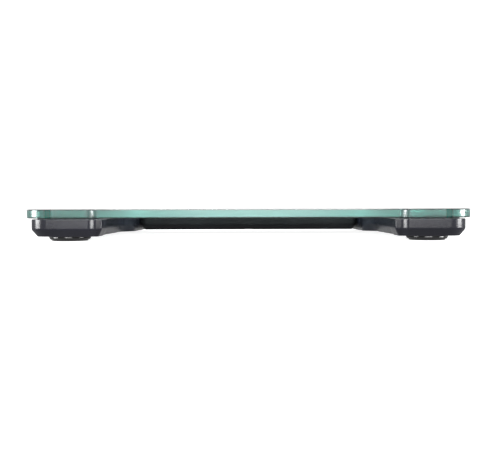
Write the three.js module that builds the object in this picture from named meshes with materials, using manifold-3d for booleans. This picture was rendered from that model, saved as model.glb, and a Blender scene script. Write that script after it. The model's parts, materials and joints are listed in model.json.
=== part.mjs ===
// Digital bathroom scale: a tempered glass platform on a black moulded H-shaped base.
// Two side rails carry a load cell and a foot at each end. A centre module between them holds
// the display, the circuit board and a coin cell. Millimetres, +Z up, the front is -Y.
// The origin is on the floor under the middle of the platform.
import * as THREE from "three";
import { mergeVertices } from "three/addons/utils/BufferGeometryUtils.js";
import Module from "manifold-3d";

const wasm = await Module();
wasm.setup();

// ---------------------------------------------------------------- driving dimensions

// Platform
const PLATFORM_WIDTH = 300;
const PLATFORM_DEPTH = 300;
const GLASS_THICKNESS = 6;
const GLASS_CORNER_RADIUS = 16;
const GLASS_ARRIS = 0.6;
const EDGE_RECESS = 3.5; // how far the edges stand back between the corner lobes
const BEND_LENGTH = 7; // length of the S from a lobe to the edge between
const BOND_THICKNESS = 0.6;
const BOND_MARGIN = 4; // in from the edge of what it holds
const BOND_BORDER = 3; // round the window

// Shells
const OVERHANG = 3; // glass past the shells
const WALL = 1.8;
const PARTING_GAP = 0.3;
const TAPER_HEIGHT = 5.9;
const TAPER_INSET = 4.1;
const INNER_TAPER = { pod: 0.75, waist: 0.3, tip: 0.1 }; // share of the inset on the rail's inner side
const TIP_STEP = 3.5; // how far the rail's bulge stands inside the pods' inner wall
const POD_END = 22; // from the platform's edge to where a pod starts to narrow
const POD_BEND = 30; // length of the S from pod to waist
const TIP_BEND = 19; // and from waist to bulge
const TIP_LEAD = 23; // the bulge starts this far ahead of the centre module
const TIP_TAIL = 2; // and ends this far behind it
const MODULE_GAP = 0.4; // between rails and centre module

// Feet and load cells
const FOOT_RADIUS = 14.5;
const FOOT_PROUD = 3.2;
const FOOT_CLEARANCE = 0.4;
const FOOT_FLANGE = 2.1;
const FOOT_FLANGE_THICKNESS = 1.65;
const FOOT_LIFT = 0.35; // flange above the cover's floor
const FOOT_TRAVEL = 0.5;
const PAD_RADIUS = 12.6;
const PAD_THICKNESS = 1.8;
const PAD_PROUD = 0.8;
const CELL_SIZE = 34;
const CELL_THICKNESS = 2.5;
const CELL_CLEARANCE = 1.1; // above the flange, with the foot pressed right in
const CELL_FIT = 0.4;
const SEAT_CLEARANCE = { outer: 2.5, inner: 4.5 }; // between a load cell's seat and the shell walls
const SEAT_RIM = 3.5; // how far the seat reaches in over the cell
const SEAT_CORNER = 6;
const TONGUE_WIDTH = 15;
const SLOT_WIDTH = 2.2;
const LEAD_SPACE = 2; // between load cell and roof

// Centre module
const CENTRE_DEPTH = 102;
const CENTRE_BACK_MARGIN = 38; // from the platform's back edge
const CENTRE_RISE = 0.6; // its floor stands above the rails' floor
const CENTRE_CORNER = 6;

// Display and board
const LCD = { width: 80, depth: 34, height: 1.8, setback: 7 }; // setback: from the module's back wall
const WINDOW_HEIGHT = 0.7;
const WINDOW_BORDER = 2; // of the panel, hidden round the window
const WINDOW_FIT = 0.3;
const LCD_FIT = 0.4;
const WINDOW_LEDGE = 0.85;
const LIGHT_GUIDE_HEIGHT = 2.4;
const STRIP_HEIGHT = 2.9;
const STRIP_WIDTH = 2;
const BOARD = { side: 8, front: 9, back: 3, height: 1.2, corner: 2 }; // how far it reaches past the panel

// Battery compartment, drawn round the coin cell
const COIN = { radius: 10, height: 3.2, lift: 0.4 };
const POCKET = { side: 3.6, front: 3.6, back: 9.6, wall: 1.2, setback: 9.4 };
const DOOR = { gap: 0.4, thickness: 1.5, pin: 1, corner: 1.5, latch: 7 };
const HOOK = { width: 4, fit: 0.6, spread: 8, reach: 4.2, thickness: 0.8 };
const TERMINAL = { x: 5, width: 4, slot: 5 }; // the contacts' tabs, which rise through the ceiling
const SCOOP_RADIUS = 6; // the fingernail scoop ahead of the door
const CONTACT_THICKNESS = 0.3;

// Unit button
const BUTTON = { radius: 4, clearance: 0.25, flange: 1, flangeThickness: 0.4, stem: 1.6, travel: 0.5 };
const BUTTON_X = 34;
const CHIP_X = 26;
const BUTTON_SETBACK = 6; // behind the board's front edge
const TACT = { size: 4.5, height: 0.9, nub: 0.1, nubRadius: 1.2 };

// Screws
const SCREW = { radius: 1.2, headRadius: 2.4, headHeight: 1.4, length: 6.4, slot: 0.5 };
const SCREW_CLEARANCE = 0.15;
const HEAD_CLEARANCE = 0.4;
const BOSS_WALL = 1.6;
const RAIL_SCREW_OUT = 20; // from the platform's edge
const RAIL_SCREW_END = 66;
const CENTRE_SCREW_IN = 14;
const CENTRE_SCREW_END = 10;
const BOARD_SCREW_IN = 4;

// Leads
const LEAD = { width: 3.4, thickness: 1.2, laneOut: 38, portHeight: 2.5, portMargin: 3 };
const PORT_SETBACKS = { front: 23, back: 33 }; // behind the module's front wall
const BATTERY_LEAD_RADIUS = 0.6;

const CONTACT = 0.1; // the sliver of air kept where two pieces bear on each other
const CORNER_STEPS = 5;
const BEND_STEPS = 4;
const ROUND_STEPS = 18;
const SMALL_STEPS = 10;
const FOOT_STEPS = 24;

// ---------------------------------------------------------------- sizes that follow

const halfWidth = PLATFORM_WIDTH / 2;
const halfDepth = PLATFORM_DEPTH / 2;
const seatReach = CELL_SIZE / 2 + CELL_FIT + WALL;
const footEdge = OVERHANG + WALL + SEAT_CLEARANCE.outer + seatReach;
const footX = halfWidth - footEdge;
const footY = halfDepth - footEdge;
const podSpan = footEdge + seatReach + SEAT_CLEARANCE.inner + WALL;
const lobeLength = podSpan - BEND_LENGTH - 2;
const bendAngle = Math.atan(EDGE_RECESS / BEND_LENGTH);

const podX = halfWidth - podSpan;
const waistX = podX + SEAT_CLEARANCE.inner;
const tipX = podX - TIP_STEP;
const railScrewX = halfWidth - RAIL_SCREW_OUT;
const laneX = halfWidth - LEAD.laneOut;

const railBottomZ = FOOT_PROUD;
const railFloorZ = railBottomZ + WALL;
const flangeBottomZ = railFloorZ + FOOT_LIFT;
const flangeTopZ = flangeBottomZ + FOOT_FLANGE_THICKNESS;
const cellBottomZ = flangeTopZ + FOOT_TRAVEL + CELL_CLEARANCE;
const cellTopZ = cellBottomZ + CELL_THICKNESS;
const roofBottomZ = cellTopZ + LEAD_SPACE;
const roofTopZ = roofBottomZ + WALL;
const bandZ = railBottomZ + TAPER_HEIGHT;
const glassBottomZ = roofTopZ + BOND_THICKNESS;
const glassTopZ = glassBottomZ + GLASS_THICKNESS;
const leadZ = (cellTopZ + roofBottomZ) / 2;

const centreX = tipX - MODULE_GAP;
const centreBackY = halfDepth - CENTRE_BACK_MARGIN;
const centreFrontY = centreBackY - CENTRE_DEPTH;
const centreBottomZ = railBottomZ + CENTRE_RISE;
const centreFloorZ = centreBottomZ + WALL;
const ports = {
  front: centreFrontY + PORT_SETBACKS.front,
  back: centreFrontY + PORT_SETBACKS.back,
};

const lcdY = centreBackY - LCD.setback - LCD.depth / 2;
const lcdTopZ = roofTopZ - WINDOW_LEDGE - CONTACT / 2;
const lcdBottomZ = lcdTopZ - LCD.height;
const boardTopZ = lcdBottomZ - STRIP_HEIGHT - CONTACT;
const boardBottomZ = boardTopZ - BOARD.height;
const boardX = LCD.width / 2 + BOARD.side;
const boardFrontY = lcdY - LCD.depth / 2 - BOARD.front;
const boardBackY = lcdY + LCD.depth / 2 + BOARD.back;
const windowWidth = LCD.width - 2 * WINDOW_BORDER;
const windowDepth = LCD.depth - 2 * WINDOW_BORDER;

const pocketX = COIN.radius + POCKET.side;
const pocketFrontY = centreFrontY + POCKET.setback;
const coinY = pocketFrontY + POCKET.front + COIN.radius;
const pocketBackY = coinY + COIN.radius + POCKET.back;
const coinBottomZ = centreFloorZ + COIN.lift;
const coinTopZ = coinBottomZ + COIN.height;
const ceilingZ = coinTopZ + CONTACT_THICKNESS + CONTACT;
const ceilingTopZ = ceilingZ + POCKET.wall;
const tabZ = lcdBottomZ - 0.8; // top of the battery contacts' solder tabs
const terminalY = { "-1": coinY + 6, 1: coinY + COIN.radius + 0.45 };
const hingeY = pocketBackY - DOOR.gap - DOOR.pin;
const buttonY = boardFrontY + BUTTON_SETBACK;
const nubZ = boardBottomZ - TACT.height - TACT.nub;

// Shell levels from the parting line down: how far the wall has drawn in at each height.
const TAPER_LEVELS = [
  { share: 0, drop: 0 },
  { share: 0.62, drop: 0.7 },
  { share: 1, drop: 1 },
];

// ---------------------------------------------------------------- geometry helpers

const point = (x, y) => new THREE.Vector2(x, y);
const radians = THREE.MathUtils.degToRad;
const mix = THREE.MathUtils.lerp;

function arc(cx, cy, radius, from, to) {
  const curve = new THREE.EllipseCurve(cx, cy, radius, radius, radians(from), radians(to), to < from);
  return curve.getPoints(CORNER_STEPS);
}

// A soft S between two points, which leaves and arrives along the axis given.
function bend(from, to, axis) {
  const reach = 0.42;
  const handle = (a, b) =>
    axis === "x" ? point(a.x + (b.x - a.x) * reach, a.y) : point(a.x, a.y + (b.y - a.y) * reach);
  return new THREE.CubicBezierCurve(from, handle(from, to), handle(to, from), to).getPoints(BEND_STEPS);
}

// The same outline with its doubled points taken out.
function tidy(points) {
  return points.filter((p, i) => p.distanceTo(points[(i + points.length - 1) % points.length]) > 1e-4);
}

// A closed solid through outlines that have the same number of points, from the lowest to the highest.
function loft(rings) {
  const count = rings[0].outline.length;
  const positions = rings.flatMap(({ outline, z }) => outline.flatMap((p) => [p.x, p.y, z]));
  const index = [];
  for (let ring = 0; ring + 1 < rings.length; ring++)
    for (let i = 0; i < count; i++) {
      const [a, b] = [ring * count + i, ring * count + ((i + 1) % count)];
      index.push(a, b, b + count, a, b + count, a + count);
    }
  const cap = (ring) => THREE.ShapeUtils.triangulateShape(ring.outline, []);
  for (const [a, b, c] of cap(rings[0])) index.push(c, b, a);
  const top = (rings.length - 1) * count;
  for (const [a, b, c] of cap(rings[rings.length - 1])) index.push(top + a, top + b, top + c);
  const geometry = new THREE.BufferGeometry();
  geometry.setAttribute("position", new THREE.Float32BufferAttribute(positions, 3));
  geometry.setIndex(index);
  return geometry;
}

function prism(outline, z0, z1) {
  return loft([{ outline, z: z0 }, { outline, z: z1 }]);
}

function box(x0, x1, y0, y1, z0, z1) {
  const geometry = new THREE.BoxGeometry(x1 - x0, y1 - y0, z1 - z0);
  return geometry.translate((x0 + x1) / 2, (y0 + y1) / 2, (z0 + z1) / 2);
}

function block(cx, cy, width, depth, z0, z1) {
  return box(cx - width / 2, cx + width / 2, cy - depth / 2, cy + depth / 2, z0, z1);
}

function cylinder(cx, cy, radius, z0, z1, steps = ROUND_STEPS) {
  return new THREE.CylinderGeometry(radius, radius, z1 - z0, steps)
    .rotateX(Math.PI / 2)
    .translate(cx, cy, (z0 + z1) / 2);
}

// A turned piece about +Z, from its (radius, height) profile, which starts and ends on the axis.
function turned(profile, steps = ROUND_STEPS) {
  const points = profile.map(([radius, z]) => point(radius, z));
  return new THREE.LatheGeometry(points, steps).rotateX(Math.PI / 2);
}

function swept(outline, route, steps) {
  const points = route.map((p) => new THREE.Vector3(...p));
  const extrudePath = new THREE.CatmullRomCurve3(points, false, "centripetal");
  return new THREE.ExtrudeGeometry(new THREE.Shape(outline), { steps, extrudePath });
}

// A geometry as a manifold solid: only positions, shared corners merged and flat triangles dropped.
function solid(geometry) {
  const bare = new THREE.BufferGeometry();
  bare.setAttribute("position", geometry.getAttribute("position").clone());
  if (geometry.index) bare.setIndex(geometry.index.clone());
  const merged = mergeVertices(bare, 1e-4);
  const index = Array.from(merged.index.array);
  const triVerts = [];
  for (let i = 0; i < index.length; i += 3) {
    const [a, b, c] = index.slice(i, i + 3);
    if (a !== b && b !== c && a !== c) triVerts.push(a, b, c);
  }
  const vertProperties = new Float32Array(merged.attributes.position.array);
  const mesh = new wasm.Mesh({ numProp: 3, vertProperties, triVerts: new Uint32Array(triVerts) });
  return new wasm.Manifold(mesh);
}

// A solid's surface as a flat-shaded geometry.
function surface(made) {
  const { numProp, vertProperties, triVerts } = made.getMesh();
  const positions = [];
  for (const vertex of triVerts) {
    const start = vertex * numProp;
    positions.push(...vertProperties.subarray(start, start + 3));
  }
  const geometry = new THREE.BufferGeometry();
  geometry.setAttribute("position", new THREE.Float32BufferAttribute(positions, 3));
  geometry.computeVertexNormals();
  return geometry;
}

const join = (...geometries) => geometries.map(solid).reduce((all, one) => all.add(one));
const cut = (body, ...tools) => tools.map(solid).reduce((left, tool) => left.subtract(tool), body);

// ---------------------------------------------------------------- outlines

// Where the S of a lobed edge starts, and where it ends, measured along the edge from its middle.
function bendSpan(half, inset) {
  const shift = inset * Math.tan(bendAngle / 2);
  const outer = half - lobeLength + shift;
  return { outer, inner: outer - BEND_LENGTH };
}

// The platform's outline drawn in by an inset: four lobed edges and round corners, anticlockwise.
function platformOutline(inset) {
  const radius = GLASS_CORNER_RADIUS - inset;
  const points = [];
  for (let quarter = 0; quarter < 4; quarter++) {
    const [half, away] = quarter % 2 ? [halfDepth, halfWidth] : [halfWidth, halfDepth];
    const { outer, inner } = bendSpan(half, inset);
    const [end, edge] = [half - inset, away - inset];
    const side = [
      ...bend(point(-outer, -edge), point(-inner, EDGE_RECESS - edge), "x"),
      ...bend(point(inner, EDGE_RECESS - edge), point(outer, -edge), "x"),
      ...arc(end - radius, radius - edge, radius, -90, 0),
    ];
    const turn = (quarter * Math.PI) / 2;
    points.push(...side.map((p) => p.rotateAround(point(0, 0), turn)));
  }
  return tidy(points);
}

// The right-hand rail's outline. taper draws in the outside and, less, the inside; wall draws in both alike.
function railOutline(taper, wall) {
  const inset = OVERHANG + taper + wall;
  const [outX, outY] = [halfWidth - inset, halfDepth - inset];
  const radius = GLASS_CORNER_RADIUS - inset;
  const across = bendSpan(halfWidth, inset);
  const along = bendSpan(halfDepth, inset);
  const [inX, inY] = [outX - EDGE_RECESS, outY - EDGE_RECESS];
  const inside = {
    pod: podX + INNER_TAPER.pod * taper + wall,
    waist: waistX + INNER_TAPER.waist * taper + wall,
    tip: tipX + INNER_TAPER.tip * taper + wall,
  };
  const tipFrontY = centreFrontY - TIP_LEAD + wall;
  const tipBackY = centreBackY + TIP_TAIL - wall;
  const podEndY = halfDepth - POD_END;
  return tidy([
    point(inside.pod, -inY),
    ...bend(point(across.inner, -inY), point(across.outer, -outY), "x"),
    ...arc(outX - radius, radius - outY, radius, -90, 0),
    ...bend(point(outX, -along.outer), point(inX, -along.inner), "y"),
    ...bend(point(inX, along.inner), point(outX, along.outer), "y"),
    ...arc(outX - radius, outY - radius, radius, 0, 90),
    ...bend(point(across.outer, outY), point(across.inner, inY), "x"),
    point(inside.pod, inY),
    ...bend(point(inside.pod, podEndY), point(inside.tip, tipBackY), "y"),
    ...bend(point(inside.tip, tipFrontY), point(inside.waist, tipFrontY - TIP_BEND), "y"),
    ...bend(point(inside.waist, POD_BEND - podEndY), point(inside.pod, -podEndY), "y"),
  ]);
}

function roundedOutline(x0, x1, y0, y1, radius) {
  return tidy([
    ...arc(x1 - radius, y0 + radius, radius, -90, 0),
    ...arc(x1 - radius, y1 - radius, radius, 0, 90),
    ...arc(x0 + radius, y1 - radius, radius, 90, 180),
    ...arc(x0 + radius, y0 + radius, radius, 180, 270),
  ]);
}

function centreOutline(taper, wall) {
  const inset = taper + wall;
  const radius = Math.max(CENTRE_CORNER - inset, 1);
  return roundedOutline(inset - centreX, centreX - inset, centreFrontY + inset, centreBackY - inset, radius);
}

// ---------------------------------------------------------------- shells

// A tapered tray: outside levels down from the parting line to bottomZ, hollow above its floor.
function tray(outlineAt, bottomZ) {
  const topZ = bandZ - PARTING_GAP;
  const height = topZ - bottomZ;
  const levels = TAPER_LEVELS.map(({ share, drop }) => ({
    taper: share * TAPER_INSET,
    z: topZ - drop * height,
  }));
  const outside = levels.map(({ taper, z }) => ({ outline: outlineAt(taper, 0), z })).reverse();
  const floorZ = bottomZ + WALL;
  const floorTaper = taperAt(levels, floorZ);
  const inside = [
    { outline: outlineAt(floorTaper, WALL), z: floorZ },
    ...levels
      .filter(({ z }) => z > floorZ + CONTACT)
      .map(({ taper, z }) => ({ outline: outlineAt(taper, WALL), z }))
      .reverse(),
    { outline: outlineAt(0, WALL), z: topZ + 1 },
  ];
  return cut(solid(loft(outside)), loft(inside));
}

function taperAt(levels, z) {
  const below = levels.findIndex((level) => level.z <= z);
  const [high, low] = [levels[below - 1], levels[below]];
  return THREE.MathUtils.mapLinear(z, low.z, high.z, low.taper, high.taper);
}

// A lid: straight walls from the parting line up to a flat roof.
function lid(outlineAt) {
  const edge = 0.5;
  const outside = loft([
    { outline: outlineAt(0, 0), z: bandZ },
    { outline: outlineAt(0, 0), z: roofTopZ - edge },
    { outline: outlineAt(0, edge), z: roofTopZ },
  ]);
  return cut(solid(outside), prism(outlineAt(0, WALL), bandZ - 1, roofBottomZ));
}

const boreRadius = SCREW.radius + SCREW_CLEARANCE;
const bossRadius = boreRadius + BOSS_WALL;
const wellRadius = SCREW.headRadius + HEAD_CLEARANCE;
const wellDepth = SCREW.headHeight + 1;

// A tray with a screw post and its well at each spot, the post reaching the parting line.
function withWells(body, spots, bottomZ) {
  const post = (x, y, radius, z0, z1) => cylinder(x, y, radius, z0, z1, SMALL_STEPS);
  for (const [x, y] of spots) {
    body = body.add(solid(post(x, y, wellRadius + BOSS_WALL, bottomZ + WALL / 2, bandZ - PARTING_GAP)));
    body = cut(
      body,
      post(x, y, wellRadius, bottomZ - 1, bottomZ + wellDepth),
      post(x, y, boreRadius, bottomZ, bandZ + 1),
    );
  }
  return body;
}

// A lid with a blind screw boss at each spot, hanging from its roof to the parting line.
function withBosses(body, spots) {
  for (const [x, y] of spots) {
    const boss = cylinder(x, y, bossRadius + 0.8, bandZ, roofTopZ - WALL / 2, SMALL_STEPS);
    body = cut(body.add(solid(boss)), cylinder(x, y, boreRadius, bandZ - 1, roofBottomZ, SMALL_STEPS));
  }
  return body;
}

const railScrews = [-1, 0, 1].map((step) => [railScrewX, step * (halfDepth - RAIL_SCREW_END)]);
const centreScrews = [-1, 1].flatMap((side) => [
  [side * (centreX - CENTRE_SCREW_IN), centreFrontY + CENTRE_SCREW_END],
  [side * (centreX - CENTRE_SCREW_IN), centreBackY - CENTRE_SCREW_END],
]);
const boardScrews = [-1, 1].map((side) => [side * (boardX - BOARD_SCREW_IN), boardBackY - BOARD_SCREW_IN]);

// The slot that lets the load-cell leads pass from a rail into the centre module.
function leadPort(side = 1) {
  const [x, reach] = [side * tipX, 4];
  const y0 = ports.front - LEAD.width / 2 - LEAD.portMargin;
  const y1 = ports.back + LEAD.width / 2 + LEAD.portMargin;
  return box(x - reach, x + reach, y0, y1, roofBottomZ - LEAD.portHeight, roofBottomZ);
}

function sideHousing() {
  let body = lid(railOutline);
  for (const y of [-footY, footY]) {
    const seat = CELL_SIZE + 2 * CELL_FIT;
    const reach = seatReach;
    const outline = roundedOutline(footX - reach, footX + reach, y - reach, y + reach, SEAT_CORNER);
    const ring = cut(
      solid(prism(outline, cellBottomZ + CONTACT, roofTopZ - WALL / 2)),
      block(footX, y, seat, seat, 0, cellTopZ + CONTACT),
      block(footX, y, seat - 2 * SEAT_RIM, seat - 2 * SEAT_RIM, 0, roofBottomZ),
      block(footX, y - (Math.sign(y) * seat) / 2, LEAD.width + 2, 4 * WALL, cellTopZ, roofBottomZ),
    );
    body = body.add(ring);
  }
  return cut(withBosses(body, railScrews), leadPort());
}

function sideCover() {
  const radius = FOOT_RADIUS + FOOT_CLEARANCE;
  const holes = [-footY, footY].map((y) => cylinder(footX, y, radius, 0, railFloorZ + 1, FOOT_STEPS));
  return withWells(cut(tray(railOutline, railBottomZ), ...holes), railScrews, railBottomZ);
}

function centreHousing() {
  const opening = (width, depth, fit, z1) => block(0, lcdY, width + 2 * fit, depth + 2 * fit, bandZ, z1);
  const body = cut(
    lid(centreOutline),
    opening(windowWidth, windowDepth, WINDOW_FIT, roofTopZ + 1),
    opening(LCD.width, LCD.depth, LCD_FIT, lcdTopZ + CONTACT / 2),
  );
  return cut(withBosses(body, centreScrews), leadPort(1), leadPort(-1));
}

function centreCover() {
  const { wall } = POCKET;
  const pocket = (grow, z0, z1) =>
    box(-pocketX - grow, pocketX + grow, pocketFrontY - grow, pocketBackY + grow, z0, z1);
  let body = tray(centreOutline, centreBottomZ);
  body = body.add(solid(pocket(wall, centreFloorZ - 0.5, ceilingTopZ)));
  body = cut(body, pocket(0, 0, ceilingZ));
  const hookSlot = HOOK.width + 2 * HOOK.fit;
  for (const side of [-1, 1])
    body = cut(
      body,
      block(side * HOOK.spread, pocketBackY, hookSlot, 4 * wall, centreFloorZ, ceilingZ - CONTACT),
      block(side * TERMINAL.x, terminalY[side], TERMINAL.slot, 1.2, ceilingZ - 1, ceilingTopZ + 1),
    );
  body = cut(
    body,
    cylinder(BUTTON_X, buttonY, BUTTON.radius + BUTTON.clearance, 0, centreFloorZ + 1),
    cylinder(0, pocketFrontY - 0.5, SCOOP_RADIUS, 0, centreBottomZ + WALL / 2),
  );
  for (const [x, y] of boardScrews) {
    const post = cylinder(x, y, bossRadius, centreFloorZ - 0.5, boardBottomZ - CONTACT, SMALL_STEPS);
    body = cut(body.add(solid(post)), cylinder(x, y, boreRadius, centreFloorZ, boardBottomZ, SMALL_STEPS));
  }
  return withWells(body, centreScrews, centreBottomZ);
}

// ---------------------------------------------------------------- the glass and what bonds it

function glassPlatform() {
  return loft([
    { outline: platformOutline(GLASS_ARRIS), z: glassBottomZ },
    { outline: platformOutline(0), z: glassBottomZ + GLASS_ARRIS },
    { outline: platformOutline(0), z: glassTopZ - GLASS_ARRIS },
    { outline: platformOutline(GLASS_ARRIS), z: glassTopZ },
  ]);
}

const bondGap = 0.02;
const sideBond = () => prism(railOutline(0, BOND_MARGIN), roofTopZ + bondGap, glassBottomZ - bondGap);

function centreBond() {
  const pad = prism(centreOutline(0, BOND_MARGIN), roofTopZ + bondGap, glassBottomZ - bondGap);
  const [width, depth] = [windowWidth + 2 * BOND_BORDER, windowDepth + 2 * BOND_BORDER];
  return cut(solid(pad), block(0, lcdY, width, depth, roofTopZ - 1, glassBottomZ + 1));
}

// ---------------------------------------------------------------- feet and load cells

function footBody() {
  const recess = PAD_RADIUS + 0.15;
  const recessZ = PAD_THICKNESS + CONTACT;
  const flange = FOOT_RADIUS + FOOT_FLANGE;
  return turned([
    [0, recessZ],
    [recess, recessZ],
    [recess, PAD_PROUD],
    [FOOT_RADIUS - 0.9, PAD_PROUD],
    [FOOT_RADIUS, PAD_PROUD + 0.9],
    [FOOT_RADIUS, flangeBottomZ],
    [flange, flangeBottomZ],
    [flange, flangeTopZ],
    [5.5, flangeTopZ],
    [4.5, cellBottomZ - CONTACT],
    [0, cellBottomZ - CONTACT],
  ]);
}

function footPad() {
  return turned([
    [0, 0],
    [PAD_RADIUS - 0.5, 0],
    [PAD_RADIUS, 0.5],
    [PAD_RADIUS, PAD_THICKNESS],
    [0, PAD_THICKNESS],
  ]);
}

// A square plate slotted on three sides, so that its tongue bends as the foot pushes it.
function loadCell() {
  const half = CELL_SIZE / 2;
  const plate = new THREE.Shape(roundedOutline(-half, half, -half, half, 3));
  const [in0, out0] = [TONGUE_WIDTH / 2, TONGUE_WIDTH / 2 + SLOT_WIDTH];
  const reach = half - 5;
  plate.holes.push(
    new THREE.Path([
      point(-out0, -reach),
      point(-in0, -reach),
      point(-in0, reach - SLOT_WIDTH),
      point(in0, reach - SLOT_WIDTH),
      point(in0, -reach),
      point(out0, -reach),
      point(out0, reach),
      point(-out0, reach),
    ]),
  );
  const geometry = new THREE.ExtrudeGeometry(plate, { depth: CELL_THICKNESS, bevelEnabled: false });
  return geometry.translate(0, 0, cellBottomZ);
}

function gaugeSeal() {
  const bottom = cellTopZ + bondGap;
  const profile = [
    [0, bottom],
    [3.6, bottom],
    [2.9, cellTopZ + 0.6],
    [0, cellTopZ + 0.9],
  ];
  return turned(profile, SMALL_STEPS).translate(0, -3.5, 0);
}

// A flat three-wire lead from a load cell along its rail, through the port and onto the board.
function cellLead(end) {
  const { sign, portY, landY } = end;
  const cellEdge = footY - CELL_SIZE / 2;
  const landX = boardX - 3;
  const route = [
    [footX, sign * (cellEdge + 5.5), leadZ],
    [footX, sign * (cellEdge - 7), leadZ],
    [laneX + 2, sign * (cellEdge - 18), leadZ],
    [laneX, sign * (cellEdge - 28), leadZ],
    [laneX, portY + sign * 15, leadZ],
    [laneX - 5, portY + sign * 4, leadZ],
    [tipX, portY, leadZ],
    [mix(tipX, landX, 0.35), portY + 2, leadZ],
    [mix(tipX, landX, 0.78), landY - 8, (leadZ + boardTopZ) / 2 + 0.6],
    [landX, landY, boardTopZ + LEAD.thickness],
  ];
  const [t, w] = [LEAD.thickness / 2, LEAD.width / 2];
  const half = [point(-t, -w + t), point(0, -w), point(t, -w + t)];
  const section = [...half, ...half.map((p) => p.clone().negate())];
  return swept(section, route, 18);
}

// ---------------------------------------------------------------- centre module's contents

const displayWindow = () =>
  block(0, lcdY, windowWidth, windowDepth, lcdTopZ + CONTACT, lcdTopZ + CONTACT + WINDOW_HEIGHT);
const lcdPanel = () => block(0, lcdY, LCD.width, LCD.depth, lcdBottomZ, lcdTopZ);
const stripY = LCD.depth / 2 - STRIP_WIDTH;
function contactStrip(side) {
  const [bottom, top] = [boardTopZ + CONTACT / 2, lcdBottomZ - CONTACT / 2];
  return block(0, lcdY + side * stripY, LCD.width - 6, STRIP_WIDTH, bottom, top);
}

const guideDepth = 2 * stripY - STRIP_WIDTH - 2;
const guideZ = lcdBottomZ - CONTACT;
const lightGuide = () => block(0, lcdY, LCD.width - 8, guideDepth, guideZ - LIGHT_GUIDE_HEIGHT, guideZ);
const ledBar = () =>
  block(LCD.width / 2 - 2, lcdY, 2.4, guideDepth - 8, boardTopZ + CONTACT / 2, guideZ - 0.2);

function mainBoard() {
  const outline = roundedOutline(-boardX, boardX, boardFrontY, boardBackY, BOARD.corner);
  const plate = prism(outline, boardBottomZ, boardTopZ);
  const holes = boardScrews.map(([x, y]) =>
    cylinder(x, y, boreRadius, boardBottomZ - 1, boardTopZ + 1, SMALL_STEPS),
  );
  return cut(solid(plate), ...holes);
}

function controllerChip() {
  const top = boardBottomZ - bondGap;
  const profile = [
    [0, boardBottomZ - 1],
    [3.4, boardBottomZ - 0.8],
    [4.5, top],
    [0, top],
  ];
  return turned(profile).translate(-CHIP_X, (boardFrontY + boardBackY) / 2, 0);
}

function tactSwitch() {
  const bottom = boardBottomZ - TACT.height;
  const body = block(BUTTON_X, buttonY, TACT.size, TACT.size, bottom, boardBottomZ - bondGap);
  return join(body, cylinder(BUTTON_X, buttonY, TACT.nubRadius, nubZ, bottom + 0.5, SMALL_STEPS));
}

function unitButton() {
  const { radius, flange, flangeThickness, stem, travel } = BUTTON;
  const z = centreFloorZ + CONTACT;
  return turned([
    [0, centreBottomZ + 0.5],
    [radius - 1, centreBottomZ + 0.3],
    [radius, centreBottomZ + 0.6],
    [radius, z],
    [radius + flange, z],
    [radius + flange, z + flangeThickness],
    [stem, z + flangeThickness],
    [stem, nubZ - travel - CONTACT],
    [0, nubZ - travel - CONTACT],
  ]).translate(BUTTON_X, buttonY, 0);
}

function coinCell() {
  const { radius } = COIN;
  return turned([
    [0, coinBottomZ],
    [radius - 0.4, coinBottomZ],
    [radius, coinBottomZ + 0.4],
    [radius, coinTopZ - 0.5],
    [radius - 0.9, coinTopZ],
    [0, coinTopZ],
  ], 28).translate(0, coinY, 0);
}

function positiveContact() {
  const y = terminalY[1] - CONTACT_THICKNESS / 2;
  const [x0, x1] = [TERMINAL.x - TERMINAL.width / 2, TERMINAL.x + TERMINAL.width / 2];
  const leaf = box(-5, x1, y, y + CONTACT_THICKNESS, coinBottomZ, ceilingZ - CONTACT);
  return join(leaf, box(x0, x1, y, y + CONTACT_THICKNESS, coinTopZ, tabZ));
}

function negativeContact() {
  const y = terminalY[-1] + CONTACT_THICKNESS / 2;
  const z = coinTopZ + CONTACT / 2;
  const [x0, x1] = [-TERMINAL.x - TERMINAL.width / 2, -TERMINAL.x + TERMINAL.width / 2];
  const leaf = box(x0, 3, y - 12, y, z, z + CONTACT_THICKNESS);
  return join(leaf, box(x0, x1, y - CONTACT_THICKNESS, y, z, tabZ));
}

function batteryLead(x, startY) {
  const circle = new THREE.EllipseCurve(0, 0, BATTERY_LEAD_RADIUS, BATTERY_LEAD_RADIUS);
  const section = circle.getPoints(6).slice(0, 6);
  const landZ = boardTopZ + BATTERY_LEAD_RADIUS + CONTACT;
  return swept(section, [
    [x, startY + 1.2, tabZ],
    [x * 1.1, startY + 4, tabZ],
    [x * 1.4, (startY + boardFrontY) / 2 + 3, (tabZ + landZ) / 2 + 0.7],
    [x * 1.5, boardFrontY + 2, landZ],
    [x * 1.5, boardFrontY + 5, landZ],
  ], 10);
}

function batteryDoor() {
  const [x, frontY] = [pocketX - DOOR.gap, pocketFrontY + DOOR.gap];
  const outline = roundedOutline(-x, x, frontY, pocketBackY - DOOR.gap, DOOR.corner);
  const plate = prism(outline, centreBottomZ, centreBottomZ + DOOR.thickness);
  const insideZ = centreBottomZ + DOOR.thickness / 2;
  const [hookZ, hookTopZ] = [centreFloorZ + CONTACT, centreFloorZ + CONTACT + HOOK.thickness];
  const hooks = [-HOOK.spread, HOOK.spread].flatMap((at) => [
    block(at, hingeY - 0.8, HOOK.width, 2.4, insideZ, hookTopZ),
    box(at - HOOK.width / 2, at + HOOK.width / 2, hingeY - 2, hingeY + HOOK.reach, hookZ, hookTopZ),
  ]);
  const latch = block(0, frontY + 0.6, DOOR.latch, 1.2, insideZ, centreFloorZ + 1.4);
  const grips = [4, 7, 10].map((step) => block(0, frontY + step, 9, 1, 0, centreBottomZ + 0.4));
  return cut(join(plate, latch, ...hooks), ...grips);
}

// ---------------------------------------------------------------- screws

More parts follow.
